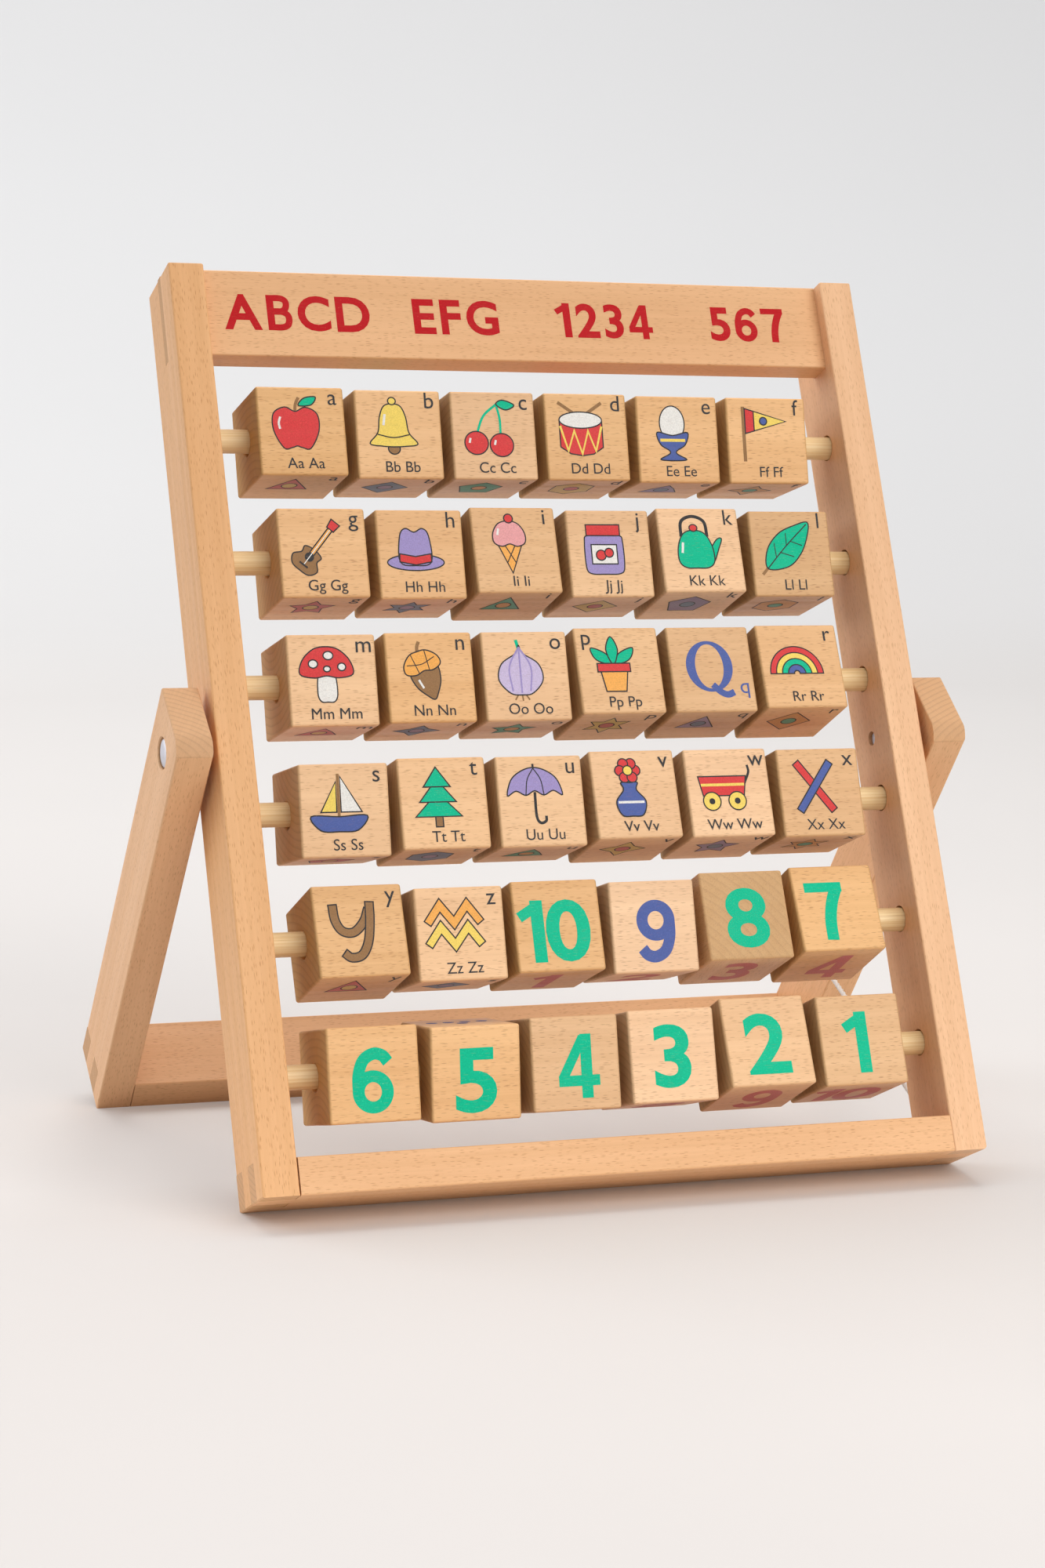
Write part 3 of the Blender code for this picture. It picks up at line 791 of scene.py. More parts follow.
def noseWaste(low, high):
    # Everything outside an arc that starts level with the top of the leg and ends at its front
    sweep = math.asin(legNose["setback"] / legNose["radius"])
    angle = np.linspace(0, sweep, legNose["steps"] + 1)
    y = low[1] + legNose["setback"] - legNose["radius"] * np.sin(angle)
    z = high[2] - legNose["radius"] * (1 - np.cos(angle))
    y = np.concatenate([[low[1] - over, low[1] + legNose["setback"]], y, [low[1] - over]])
    z = np.concatenate([[high[2] + over, high[2] + over], z, z[-1:]])
    count = len(y)
    ends = [np.stack([np.full(count, x), y, z], 1) for x in (low[0] - over, high[0] + over)]
    caps = [list(range(count)), list(range(count, 2 * count))]
    return np.concatenate(ends), gridFaces(2, count) + caps


def addLeg(sideName, side):
    name = sideName + "_leg"
    low, high, inner, outer, waste = uprightParts(name, "stand_crossbar", standTurn)
    waste.append(noseWaste(low, high))
    floor = outer - pivotHoles["headDepth"]
    head, rim = pivotHoles["headRadius"], pivotHoles["rimRound"]
    runs = [(inner - over, floor, pivotHoles["boltRadius"])]
    runs += [(floor, outer - rim, head), (outer, outer + over, head + rim)]
    waste.append(holeAlongX(side, runs, (0, 0, 0), pivotHoles["sides"]))
    if side > 0:
        radius, mouth = cordHoles["radius"], cordHoles["mouth"]
        runs = [(inner - over, inner, radius + mouth)]
        runs.append((inner + mouth, inner + cordHoles["depth"], radius))
        waste.append(holeAlongX(1, runs, (0, 0, -cordHoles["legDrop"]), cordHoles["sides"]))
    addBar(name, low, high, waste, "z", standTurn, "stand", (-1,), (side,))


def addTitleBoard():
    low, high = squareBox("title_board", leanTurn)
    inner = squareBox("right_stile", leanTurn)[0][0]
    back = high[1] - planedStock["tongue"]
    waste = []
    for side in (-1, 1):
        ends = side * inner, side * (high[0] + over)
        waste.append(boxBetween(*ends, low[1] - over, back, low[2] - over, high[2] + over))
    addBar("title_board", low, high, waste, "x", leanTurn, "rack", (-1, 1), ())


for sideName, side in (("left", -1), ("right", 1)):
    addStile(sideName, side)
    addLeg(sideName, side)
addRail("bottom_rail", "right_stile", leanTurn, "rack")
addRail("stand_crossbar", "right_leg", standTurn, "stand")
addTitleBoard()
print("bars planed and joined")

# Rods, with dried glue where two of them enter the left stile
rodLook = {"sides": 64, "endRound": 0.5 * mm, "endSteps": 5, "crispAngle": 40}
glueBeads = {
    "reach": {1: (1.3 * mm, 1.2 * mm), 5: (0.8 * mm, 0.8 * mm)},  # by rod: on the stile, along the rod
    "swell": 0.40,  # thicker above than below
    "ripple": 0.08,
    "ripples": 3,
    "gap": 0.02 * mm,  # round the rod
    "sides": 72,
    "steps": 12,
    "crispAngle": 50,
}


def rodPlace(row):
    # Centre, radius and half length
    low, high = (np.array(corner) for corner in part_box(f"rod_{row}"))
    return (low + high) / 2, (high[2] - low[2]) / 2, (high[0] - low[0]) / 2


def addRods(look):
    arc = np.linspace(0, np.pi / 2, look["endSteps"])
    eased = look["endRound"] * (1 - np.stack([np.cos(arc), np.sin(arc)], 1))
    for row in rodRows:
        centre, radius, end = rodPlace(row)
        tip = (end, radius) - eased
        profile = np.vstack([[end, 0], tip, tip[::-1] * (-1, 1), [-end, 0]])
        mesh = closedMesh(f"rod_{row}_cane", [moved(turnedShape(profile, look["sides"]), centre)])
        piece = addPiece(f"rod_{row}_cane", mesh, bamboo, "bamboo", "rack", f"rod_{row}")
        smoothOver(piece, look["crispAngle"])


def addGlueBeads(look):
    # A quarter of an oval from the stile to the rod, swelling and rippling round it
    innerFace = squareBox("left_stile", leanTurn)[1][0]
    turn = np.linspace(0, 2 * np.pi, look["sides"], endpoint=False)[None, :]
    climb = np.linspace(0, np.pi / 2, look["steps"])[:, None]
    for row, (onStile, onRod) in look["reach"].items():
        centre, radius = rodPlace(row)[:2]
        swell = 1 + look["swell"] * np.sin(turn) + look["ripple"] * np.sin(look["ripples"] * turn + row)
        x = innerFace + onRod * swell * np.sin(climb)
        reach = radius + look["gap"] + onStile * swell * np.cos(climb)
        x = np.vstack([x, np.full_like(turn, innerFace), x[:1]])
        reach = np.vstack([reach, np.full_like(turn, radius + look["gap"]), reach[:1]])
        points = np.stack([x, reach * np.cos(turn), reach * np.sin(turn)], -1).reshape(-1, 3)
        faces = gridFaces(len(x), look["sides"])
        mesh = closedMesh(f"rod_{row}_glue", [(points + centre * (0, 1, 1), faces)])
        piece = addPiece(f"rod_{row}_glue", mesh, driedGlue, "bamboo", "rack")
        smoothOver(piece, look["crispAngle"])


addRods(rodLook)
addGlueBeads(glueBeads)
print("rods set")

# Pivot hardware: domed bolt, spacing washer and threaded insert on each side
pivotLook = {
    "headRadius": 4.6 * mm,
    "rim": 1.0 * mm,
    "dome": 0.7 * mm,
    "domeSteps": 15,
    "edge": 0.3 * mm,
    "shank": 2.2 * mm,
    "bore": 2.5 * mm,
    "washerRadius": 6.0 * mm,
    "insertRadius": 4.0 * mm,
    "threads": 9,
    "threadDepth": 0.45 * mm,
    "sides": 96,
    "crispAngle": 30,
}


def ringProfile(start, end, inner, outer, edge):
    # A ring's section with its outer corners eased
    outline = [(start, inner), (end, inner), (end, outer - edge), (end - edge, outer)]
    return outline + [(start + edge, outer), (start, outer - edge), (start, inner)]


def addPivot(sideName, side, look):
    ends = {}
    for kind in ("bolt", "washer", "insert"):
        ends[kind] = sorted(abs(corner[0]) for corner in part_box(f"{sideName}_pivot_{kind}"))
    tip, top = ends["bolt"]
    head, shank, edge, bore = (look[part] for part in ("headRadius", "shank", "edge", "bore"))
    seat = top - look["rim"] - look["dome"]
    arc = np.linspace(0, np.pi / 2, look["domeSteps"])
    dome = np.stack([seat + look["rim"] + look["dome"] * np.sin(arc), head * np.cos(arc)], 1)
    bolt = [(tip, 0), (tip, shank - edge), (tip + edge, shank), (seat, shank)]
    bolt += [(seat, head - edge), (seat + edge, head), *dome.tolist()]
    washer = ringProfile(*ends["washer"], bore, look["washerRadius"], edge)
    ridge = np.linspace(*ends["insert"], 2 * look["threads"] + 1)
    height = look["insertRadius"] - look["threadDepth"] * (np.arange(len(ridge)) % 2)
    insert = [(ridge[0], bore), *zip(ridge, height), (ridge[-1], bore), (ridge[0], bore)]
    steel, brass = (zincSteel, "zinc_steel"), (insertBrass, "insert_brass")
    kinds = ("bolt", bolt, steel), ("washer", washer, steel), ("insert", insert, brass)
    for kind, profile, metal in kinds:
        points, faces = turnedShape(profile, look["sides"])
        mesh = closedMesh(f"{sideName}_{kind}_metal", [(points * (side, 1, 1) + pivot, faces)])
        piece = addPiece(mesh.name, mesh, *metal, "rack", f"{sideName}_pivot_{kind}")
        smoothOver(piece, look["crispAngle"])


addPivot("left", -1, pivotLook)
addPivot("right", 1, pivotLook)
print("pivots fitted")

# Cubes: one sanded block, bored, copied to each place with its own cut of the tree
cubeLook = {
    "edge": 30 * mm,
    "edgeRound": 0.9 * mm,
    "roundSteps": 5,
    "hang": 0.45 * mm,  # how far each cube's bore drops on its rod
    "boreRadius": 4.5 * mm,
    "boreEase": 0.35 * mm,
    "sides": 64,
    "facesForward": 40,  # degrees from the frame's front, at most
    "endGrainFront": {"8": 0.58},  # cut across the tree, with the share of end grain that its front shows
    "hearts": {"8": (0.056, 0.056), "6": (0.002, 0.024)},  # m from the middle to the tree's heart
    "heartAway": (14, 60),  # mm, range of the lot for the others
    "stride": 0.37,  # m along the tree from one cube to the next
    "woods": (  # tone and warmth, and the cubes that are cut from it
        (1.09, 0.87, "k w 9 3"),
        (1.03, 0.92, "m o s t u v z"),
        (0.97, 0.93, "c j p 2"),
        (0.94, 1.04, "a d y 7 10"),
        (0.91, 0.95, "i q x 4 1"),
        (0.83, 0.98, "l"),
        (0.90, 0.98, "8"),
        (1.0, 1.0, "b e f g h n r 5 6"),
    ),
    "woodSpread": 0.025,
    "seed": 26,
    "crispAngle": 35,
}
cubeNames = [node.removeprefix("cube_") for node in frame["nodes"] if node.startswith("cube_")]
letters = sorted(name for name in cubeNames if name.isalpha())
cubeNames = letters + sorted(set(cubeNames) - set(letters), key=int, reverse=True)  # a to z, then 10 to 1
hang = np.array((0, 0, cubeLook["hang"]))
cubePlaces = {name: np.mean(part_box("cube_" + name), 0) - hang for name in cubeNames}


def cubeTurn(name):
    # The cube's turn about its rod, read from the widest face of the node that looks forward
    mesh = frame["nodes"]["cube_" + name].data
    areas = np.empty(len(mesh.polygons))
    mesh.polygons.foreach_get("area", areas)
    normals = faceNormals(mesh)
    forward = -(normals @ leanTurn)[:, 1] > math.cos(math.radians(cubeLook["facesForward"]))
    front = normals[forward][np.argmax(areas[forward])]
    return turnAboutX(math.atan2(-front[2], -front[1]))


def boredBlock(look):
    reach, radius = look["edge"] / 2, look["boreRadius"]
    half = np.full(3, reach)
    block = closedMesh("cubeBlock", [blockShape(-half, half, look["edgeRound"], look["roundSteps"])])
    ease = look["boreEase"]
    wide = radius + ease
    runs = [(-reach - over, -reach, wide), (-reach + ease, reach - ease, radius)]
    runs.append((reach, reach + over, wide))
    return cutAway(block, [holeAlongX(1, runs, (0, 0, 0), look["sides"])])


def grainAxis(name):
    return "y" if name in cubeLook["endGrainFront"] else "x"


rng = np.random.default_rng(cubeLook["seed"])
cubeHearts = {}
cubeTurns = {name: cubeTurn(name) for name in cubeNames}
master = boredBlock(cubeLook)
for index, name in enumerate(cubeNames):
    mesh = master.copy()
    mesh.name = f"cube_{name}_wood"
    away = rng.uniform(*cubeLook["heartAway"]) * mm
    bearing = rng.uniform(0, 2 * np.pi)
    across = cubeLook["hearts"].get(name, (away * math.cos(bearing), away * math.sin(bearing)))
    cubeHearts[name] = np.array([index * cubeLook["stride"], *across])
    wood = next(wood[:2] for wood in cubeLook["woods"] if name in wood[2].split())
    tone, warmth = wood + rng.uniform(-cubeLook["woodSpread"], cubeLook["woodSpread"], 2)
    endShare = cubeLook["endGrainFront"].get(name, 1.0)
    layGrain(mesh, grainAxis(name), cubeHearts[name], tone, warmth, endShare=endShare)
    putInPlace(mesh, cubeTurns[name], cubePlaces[name])
    piece = addPiece(mesh.name, mesh, cubeWood, "cube_beech", f"cube_{name}", f"cube_{name}")
    smoothOver(piece, cubeLook["crispAngle"])
print("cubes turned:", len(cubeNames))

# Prints: flat shapes in mm on each face, one over the other, most of them with a dark outline
inkColours = {
    "ink": (0.035, 0.034, 0.036),
    "letter": (0.040, 0.041, 0.044),
    "red": (0.70, 0.055, 0.056),
    "title": (0.50, 0.003, 0.008),
    "yellow": (0.90, 0.66, 0.14),
    "green": (0.0, 0.50, 0.275),
    "blue": (0.085, 0.125, 0.36),
    "purple": (0.36, 0.29, 0.56),
    "lilac": (0.60, 0.50, 0.70),
    "brown": (0.31, 0.165, 0.07),
    "orange": (0.90, 0.42, 0.10),
    "white": (0.84, 0.81, 0.76),
    "pink": (0.80, 0.36, 0.36),
    # rose to rust: darker, greyer copies of the inks for the undersides, partly painted shade
    "rose": (0.60, 0.18, 0.17),
    "slate": (0.20, 0.25, 0.36),
    "moss": (0.13, 0.37, 0.25),
    "ochre": (0.68, 0.50, 0.19),
    "plum": (0.36, 0.28, 0.42),
    "rust": (0.63, 0.34, 0.13),
}
printLook = {
    "lift": 0.03 * mm,
    "step": 0.008 * mm,
    "film": 0.006 * mm,
    "outline": 0.42,
    "sharpest": 0.45,  # keeps the corner of a stroke from running out
    "bowlSides": 72,
    "archSteps": 32,
    "ovalSides": (16, 10),  # at least, and for each mm of its radius
    "bothSteps": 5,
    "curveSteps": 6,
    "fontSteps": 5,
    "pictureShift": (-2.0, 2.0),
    "pictureScale": 1.04,
    "letterPlace": (10.9, 9.0),
    "letterSize": 7.8,
    "captionPlace": (0.6, -12.7),
    "captionSize": 5.2,
    "digitTall": 20.5,
    "digitWide": 1.14,
    "digitBold": 0.026,
    "pairPlaces": (-7.1, 4.7),  # of the two figures of a ten
}
figureLook = {  # under the letter cubes, in darker, greyer inks that partly paint the shade of faces that look down
    "outer": 8.0,
    "tips": (3, 4, 5, 6),  # one after the other, as polygons and then as stars
    "starWaist": 0.55,
    "dot": 2.6,
    "colours": ("rose", "slate", "moss", "ochre", "plum", "rust"),
}
backLook = {  # big letters on the back and the top
    "capital": 17.0, "small": 15.0, "bold": 0.012, "colours": ("blue", "green", "brown", "red", "purple")
}
dotLook = {"inRow": 4, "apart": 5.6, "radius": 1.9, "colour": "blue"}
digitPlaces = {
    "10": (-1.4, -1.7), "9": (0.7, -1.5), "8": (0, -1), "7": (-4.0, -1.2), "6": (-0.5, -1.9),
    "5": (0, -2.2), "4": (1, -1), "3": (-0.4, -0.2), "2": (-0.5, -1), "1": (-1.4, -0.9),
}
signStrokes = {  # signs drawn as strokes and bowls: shape, points and width
    "B": (
        ("rule", ((-4.8, 10.2), (-4.8, -10.2)), 4.0),
        (
            "line",
            ((-4.8, 8.4), (0.8, 8.4), (3.7, 6.9), (4.0, 3.9), (2.6, 1.5), (-0.2, 0.7), (-4.8, 0.7)), 3.6,
        ),
        (
            "line",
            ((-4.8, 0.7), (0.8, 0.7), (4.3, -1), (5.1, -4), (4, -7.1), (0.8, -8.4), (-4.8, -8.4)), 3.6,
        ),
    ),
    "1": (("rule", ((1.6, 10.2), (1.6, -10.2)), 4.3), ("rule", ((-4.6, 4.7), (2.4, 8.7)), 3.4)),
    "4": (
        ("rule", ((2.6, 10.2), (2.6, -10.2)), 3.8),
        ("rule", ((-7, -4.6), (7, -4.6)), 3.4),
        ("rule", ((-5.7, -4), (1.7, 9.2)), 3.2),
    ),
    "6": (
        ("bowl", (0, -3.5, 6.7, 6.7, 2.8, 3.0), 0),
        ("line", ((-4.8, -3.4), (-4.6, 1.8), (-2.9, 6.3), (0.4, 8.3), (3.4, 7.7), (5.2, 5.6)), 3.8),
    ),
    "7": (
        ("rule", ((-6.8, 8.5), (6.8, 8.5)), 3.4),
        ("line", ((5.0, 8.6), (2.3, 2.8), (0.7, -3.6), (0.3, -10.2)), 4.2),
    ),
    "9": (
        ("bowl", (0, 3.5, 6.7, 6.7, 2.8, 3.0), 0),
        ("line", ((4.8, 3.4), (4.6, -1.8), (2.9, -6.3), (-0.4, -8.3), (-3.4, -7.7), (-5.2, -5.6)), 3.8),
    ),
}
pictures = {  # shape, colour, points or measures, and the width of a stroke; later ones lie on top
    "a": (
        ("both", "red", ((0, 4.4), (3.4, 5.8), (7.2, 3.6), (7.4, -2), (4.4, -7.6), (1.6, -7.4), (0, -6.9))),
        ("line", "brown", ((0, 4.6), (0.3, 6.8), (1.4, 9)), 1.0),
        ("blob", "green", ((1.2, 6.4), (3.2, 8.8), (7, 9.2), (5.4, 6.6))),
        ("line", "white", ((-5, 2.6), (-5.6, 0.6), (-5.3, -1.4)), 0.7),
    ),
    "b": (
        ("oval", "brown", (0, -6.6, 2, 1.8)),
        ("both", "yellow", ((0, 8), (2.8, 7.2), (4.4, 3.6), (5.2, -1.4), (8, -5), (4, -5.8), (0, -6))),
        ("oval", "yellow", (0, 8.9, 1.3, 1.2)),
        ("line", "ink", ((-5.3, -2), (0, -3), (5.3, -2)), 0.4),
        ("line", "white", ((-2.6, 4.6), (-3.2, 1)), 0.8),
    ),
    "c": (
        ("line", "green", ((-3.9, -1.4), (-1.4, 4.4), (3.2, 8.4)), 0.8),
        ("line", "green", ((4.2, -2), (4.2, 3.6), (3.2, 8.4)), 0.8),
        ("oval", "red", (-4.2, -4.4, 4, 3.8)),
        ("oval", "red", (4.4, -5, 4, 3.8)),
        ("blob", "green", ((3.2, 8.4), (5.4, 9.8), (9.4, 8.2), (6.4, 6.6))),
        ("line", "white", ((-6.2, -2.8), (-6.6, -4.4)), 0.7),
        ("line", "white", ((2.4, -3.4), (2, -5)), 0.7),
    ),
    "d": (
        ("rule", "brown", ((-1, 5), (-7.6, 9.4)), 1.1),
        ("rule", "brown", ((1, 5), (7.6, 9.4)), 1.1),
        (
            "poly", "red",
            ((-7.4, 3.4), (-7.4, -5.4), (-4, -7.6), (0, -8.2), (4, -7.6), (7.4, -5.4), (7.4, 3.4)),
        ),
        (
            "rule", "yellow",
            ((-7.2, 1.6), (-4.8, -6.6), (-2.4, 0), (0, -7.6), (2.4, 0), (4.8, -6.6), (7.2, 1.6)), 0.8,
        ),
        ("oval", "white", (0, 3.6, 7.4, 2.7)),
    ),
    "e": (
        ("oval", "white", (0, 3.4, 4.4, 5.8)),
        (
            "both", "blue",
            ((0, -0.6), (5.4, 0.4), (4.4, -3.6), (1.4, -5.6), (1.4, -6.8), (4.6, -8.6), (0, -9)),
        ),
        ("rule", "yellow", ((-4.4, -2.2), (4.4, -2.2)), 1.0),
    ),
    "f": (
        ("rule", "brown", ((-6.4, -9), (-6.4, 9.4)), 1.2),
        ("poly", "yellow", ((-5.8, 8.8), (9, 4.6), (-5.8, 0.4))),
        ("poly", "red", ((-5.8, 8.8), (-2.6, 7.9), (-2.6, 1.3), (-5.8, 0.4))),
        ("oval", "blue", (0.8, 4.6, 1.3, 1.3)),
    ),
    "g": (
        ("turn", -40),
        ("both", "brown", ((0, -1.4), (3.2, -2.2), (3, -4.4), (4.8, -6.8), (3.2, -9.4), (0, -9.8))),
        ("poly", "orange", ((-0.8, -3), (0.8, -3), (0.8, 7.4), (-0.8, 7.4))),
        ("poly", "red", ((-1.3, 7.2), (1.3, 7.2), (1.7, 10.2), (-1.7, 10.2))),
        ("oval", "ink", (0, -4.4, 1.3, 1.3)),
        ("rule", "white", ((0, -7.4), (0, 7)), 0.3),
        ("rule", "ink", ((-1.6, -7.6), (1.6, -7.6)), 0.6),
    ),
    "h": (
        ("oval", "purple", (0, -4.6, 9.4, 2.6)),
        ("both", "purple", ((0, 5.2), (2.8, 6.4), (4.8, 4), (5.2, -4.4), (0, -5.6))),
        ("poly", "red", ((-5.3, -4.4), (-5.2, -1.8), (0, -2.7), (5.2, -1.8), (5.3, -4.4), (0, -5.4))),
    ),
    "i": (
        ("poly", "orange", ((-4.4, 0.6), (4.4, 0.6), (0, -9.8))),
        ("rule", "ink", ((-2.2, 0.4), (1.4, -6.2)), 0.35),
        ("rule", "ink", ((2.2, 0.4), (-1.4, -6.2)), 0.35),
        ("both", "pink", ((0, 7.8), (3.4, 6.8), (5.4, 3.6), (5.2, 0.4), (2.6, -0.8), (0, 0))),
        ("oval", "red", (0.4, 8.6, 1.5, 1.5)),
        ("line", "white", ((-3.4, 5.2), (-3.9, 3)), 0.7),
    ),
    "j": (
        ("both", "purple", ((0, 4.2), (5.6, 4), (6.6, 1.8), (6.6, -6.4), (5, -8.6), (0, -8.8))),
        ("poly", "red", ((-5.8, 4), (5.8, 4), (5.8, 7.6), (-5.8, 7.6))),
        ("poly", "white", ((-4.4, 1), (4.4, 1), (4.4, -5.4), (-4.4, -5.4))),
        ("oval", "red", (-1.2, -2.5, 1.7, 1.7)),
        ("oval", "red", (1.6, -1.7, 1.5, 1.5)),
    ),
    "k": (
        ("line", "ink", ((-4.6, 2.6), (-4, 7.8), (0, 9.6), (4, 7.8), (4.6, 2.6)), 1.1),
        ("blob", "green", ((5, -2.6), (7.8, 1.6), (9.6, 1.8), (8.2, -1.6), (6, -6))),
        ("both", "green", ((0, 4.8), (3.8, 3.6), (6, -0.8), (6.2, -5.8), (4, -8), (0, -8.2))),
        ("oval", "red", (0, 5.6, 1.4, 1.2)),
        ("line", "white", ((-4.2, 0.6), (-4.8, -3)), 0.8),
    ),
    "l": (
        ("line", "brown", ((-9, -9), (-6.6, -6.4)), 1.0),
        (
            "blob", "green",
            ((-7, -7), (-6.6, -0.6), (-2.2, 4.8), (3.8, 7.6), (8.8, 8.6), (8, 3.4), (5.2, -2.2),
             (0.4, -6.4)),
        ),
        ("line", "ink", ((-7, -7), (0, 0.4), (8.2, 8)), 0.4),
        ("line", "ink", ((-3.6, -3.4), (-4, 1.6)), 0.3),
        ("line", "ink", ((0.4, 0.8), (0.4, 5)), 0.3),
        ("line", "ink", ((-1.8, -1.6), (2.8, -3)), 0.3),
        ("line", "ink", ((2, 2.2), (6, 0.8)), 0.3),
    ),
    "m": (
        ("both", "white", ((0, 0.4), (2.6, 0), (3.2, -6), (2.2, -8.6), (0, -8.8))),
        ("both", "red", ((0, 8.6), (4, 7.8), (7.6, 4.4), (8.6, 0), (4, -1.2), (0, -0.6))),
        ("oval", "white", (-4.2, 3.2, 1.5, 1.3)),
        ("oval", "white", (0.8, 5.8, 1.6, 1.3)),
        ("oval", "white", (5, 2.2, 1.3, 1.2)),
        ("oval", "white", (0.2, 1.6, 1.1, 0.9)),
    ),
    "n": (
        ("turn", 18),
        ("line", "brown", ((0, 6), (0.6, 8), (1.8, 9.4)), 1.1),
        ("both", "brown", ((0, 1.4), (4.6, 0.8), (4.2, -4), (1.6, -8), (0, -9.4))),
        ("both", "orange", ((0, 6.6), (3, 6.2), (5.8, 3.6), (6, 0.8), (3, -0.4), (0, 0.2))),
        ("line", "ink", ((-4.8, 3.4), (0, 2.4), (4.8, 3.4)), 0.3),
        ("line", "ink", ((-2.4, 6.2), (-1.8, 0)), 0.3),
        ("line", "ink", ((2.4, 6.2), (1.8, 0)), 0.3),
        ("line", "white", ((-2.8, -2), (-2.2, -5)), 0.7),
    ),
    "o": (
        ("line", "green", ((0, 6.6), (-0.8, 9.8)), 1.1),
        ("line", "brown", ((-1.2, -7.8), (-2.4, -9.6)), 0.5),
        ("line", "brown", ((0, -7.8), (0.2, -9.9)), 0.5),
        ("line", "brown", ((1.2, -7.8), (2.4, -9.6)), 0.5),
        ("both", "lilac", ((0, 8), (1.2, 5.4), (6.2, 2), (7.4, -3.2), (3.8, -7.4), (0, -8))),
        ("line", "purple", ((0, 7.4), (-3.6, 1), (-3, -6.8)), 0.55),
        ("line", "purple", ((0, 7.4), (3.6, 1), (3, -6.8)), 0.55),
        ("line", "purple", ((0, 7.4), (0, -7.4)), 0.55),
    ),
    "p": (
        ("blob", "green", ((0, 0), (-2.4, 3.8), (-7.2, 5.6), (-5.6, 1.6))),
        ("blob", "green", ((0, 0), (2.4, 3.8), (7.2, 5.6), (5.6, 1.6))),
        ("both", "green", ((0, 9.4), (2, 5), (0, 0))),
        ("poly", "orange", ((-4.6, -2), (4.6, -2), (3.4, -9), (-3.4, -9))),
        ("poly", "red", ((-5.6, 0.4), (5.6, 0.4), (5.6, -2.4), (-5.6, -2.4))),
    ),
    "r": tuple(
        ("arch", colour, (0, -4.6, 9.4 - 2.1 * band, 7.3 - 2.1 * band))
        for band, colour in enumerate(("red", "yellow", "green", "blue"))
    ),
    "s": (
        ("rule", "brown", ((0, -4), (0, 9.4)), 0.9),
        ("poly", "white", ((0.7, 8.6), (0.7, -2.4), (7.4, -2.4))),
        ("poly", "yellow", ((-0.7, 7), (-0.7, -2.4), (-5.8, -2.4))),
        ("both", "blue", ((0, -3.8), (9, -3.6), (6, -8), (0, -8.4))),
    ),
    "t": (
        ("poly", "brown", ((-1.2, -5.6), (1.2, -5.6), (1.2, -9.4), (-1.2, -9.4))),
        ("poly", "green", ((0, 1.4), (7.6, -6.2), (-7.6, -6.2))),
        ("poly", "green", ((0, 5.6), (6, -1.6), (-6, -1.6))),
        ("poly", "green", ((0, 9.4), (4.4, 3.2), (-4.4, 3.2))),
    ),
    "u": (
        ("line", "ink", ((0, 1), (0, -6.6), (1.2, -8.8), (3, -8.2), (3.2, -6.6)), 0.9),
        ("rule", "ink", ((0, 8.6), (0, 10)), 0.7),
        ("both", "purple", ((0, 8.8), (4, 7.8), (7.6, 5), (9.2, 0), (6.2, 1.4), (3, 0), (0, 1.4))),
        ("line", "ink", ((0, 8.6), (-2.2, 5), (-3, 0.2)), 0.35),
        ("line", "ink", ((0, 8.6), (2.2, 5), (3, 0.2)), 0.35),
    ),
    "v": (
        ("rule", "green", ((0, 1), (0, 5)), 0.9),
        *(
            ("oval", "red", (2.6 * math.cos(petal), 5.8 + 2.6 * math.sin(petal), 1.7, 1.7))
            for petal in (index * math.tau / 6 for index in range(6))
        ),
        ("oval", "yellow", (0, 5.8, 1.6, 1.6)),
        ("both", "blue", ((0, 1.8), (2.8, 1.8), (2.2, -0.6), (5, -4.4), (3.6, -8.8), (0, -9.2))),
        ("rule", "white", ((-4.4, -4.6), (4.4, -4.6)), 0.8),
    ),
    "w": (
        ("line", "ink", ((7.6, 1), (9.4, 4.6), (9.2, 7)), 0.8),
        ("poly", "red", ((-8.4, 3.4), (8.2, 3.4), (7, -3), (-7.2, -3))),
        ("rule", "yellow", ((-7.6, 0.6), (7.4, 0.6)), 0.9),
        ("oval", "yellow", (-4.4, -4.8, 3, 3)),
        ("oval", "yellow", (4.4, -4.8, 3, 3)),
        ("oval", "ink", (-4.4, -4.8, 0.8, 0.8)),
        ("oval", "ink", (4.4, -4.8, 0.8, 0.8)),
    ),
    "x": (
        ("band", "red", ((-6, 8), (6, -8)), 2.6),
        ("band", "blue", ((6, 8), (-6, -8)), 2.6),
    ),
    "z": (
        ("band", "orange", ((-8.6, 1.4), (-4.4, 7), (0, 1.4), (4.4, 7), (8.6, 1.4)), 2.6),
        ("band", "yellow", ((-8.6, -5.4), (-4.4, 0.2), (0, -5.4), (4.4, 0.2), (8.6, -5.4)), 2.6),
    ),
}
bigLetters = {  # letters that fill their own face
    "q": (
        ("bowl", "blue", (1.2, -1.0, 8.1, 8.6, 4.9, 7.5)),
        ("line", "blue", ((1.6, -7.2), (4, -9.6), (6.4, -10.6), (8.8, -9.8)), 2.2),
    ),
    "y": (
        (
            "ribbon", "brown",
            ((-6.2, 6.4), (-5.8, 1.4), (-3.8, -2), (-0.2, -2.4), (3.2, 0.8), (5, 4.8)), 2.7,
        ),
        ("ribbon", "brown", ((5.6, 7), (5.2, 1.2), (4, -5.4), (1.6, -9.6), (-1.8, -10.4), (-4, -8.8)), 2.7),
    ),
}
smallLetters = {"q": ((11.2, -8.6), "blue"), "p": ((-10.9, 9.0), "letter")}  # where they are not as usual


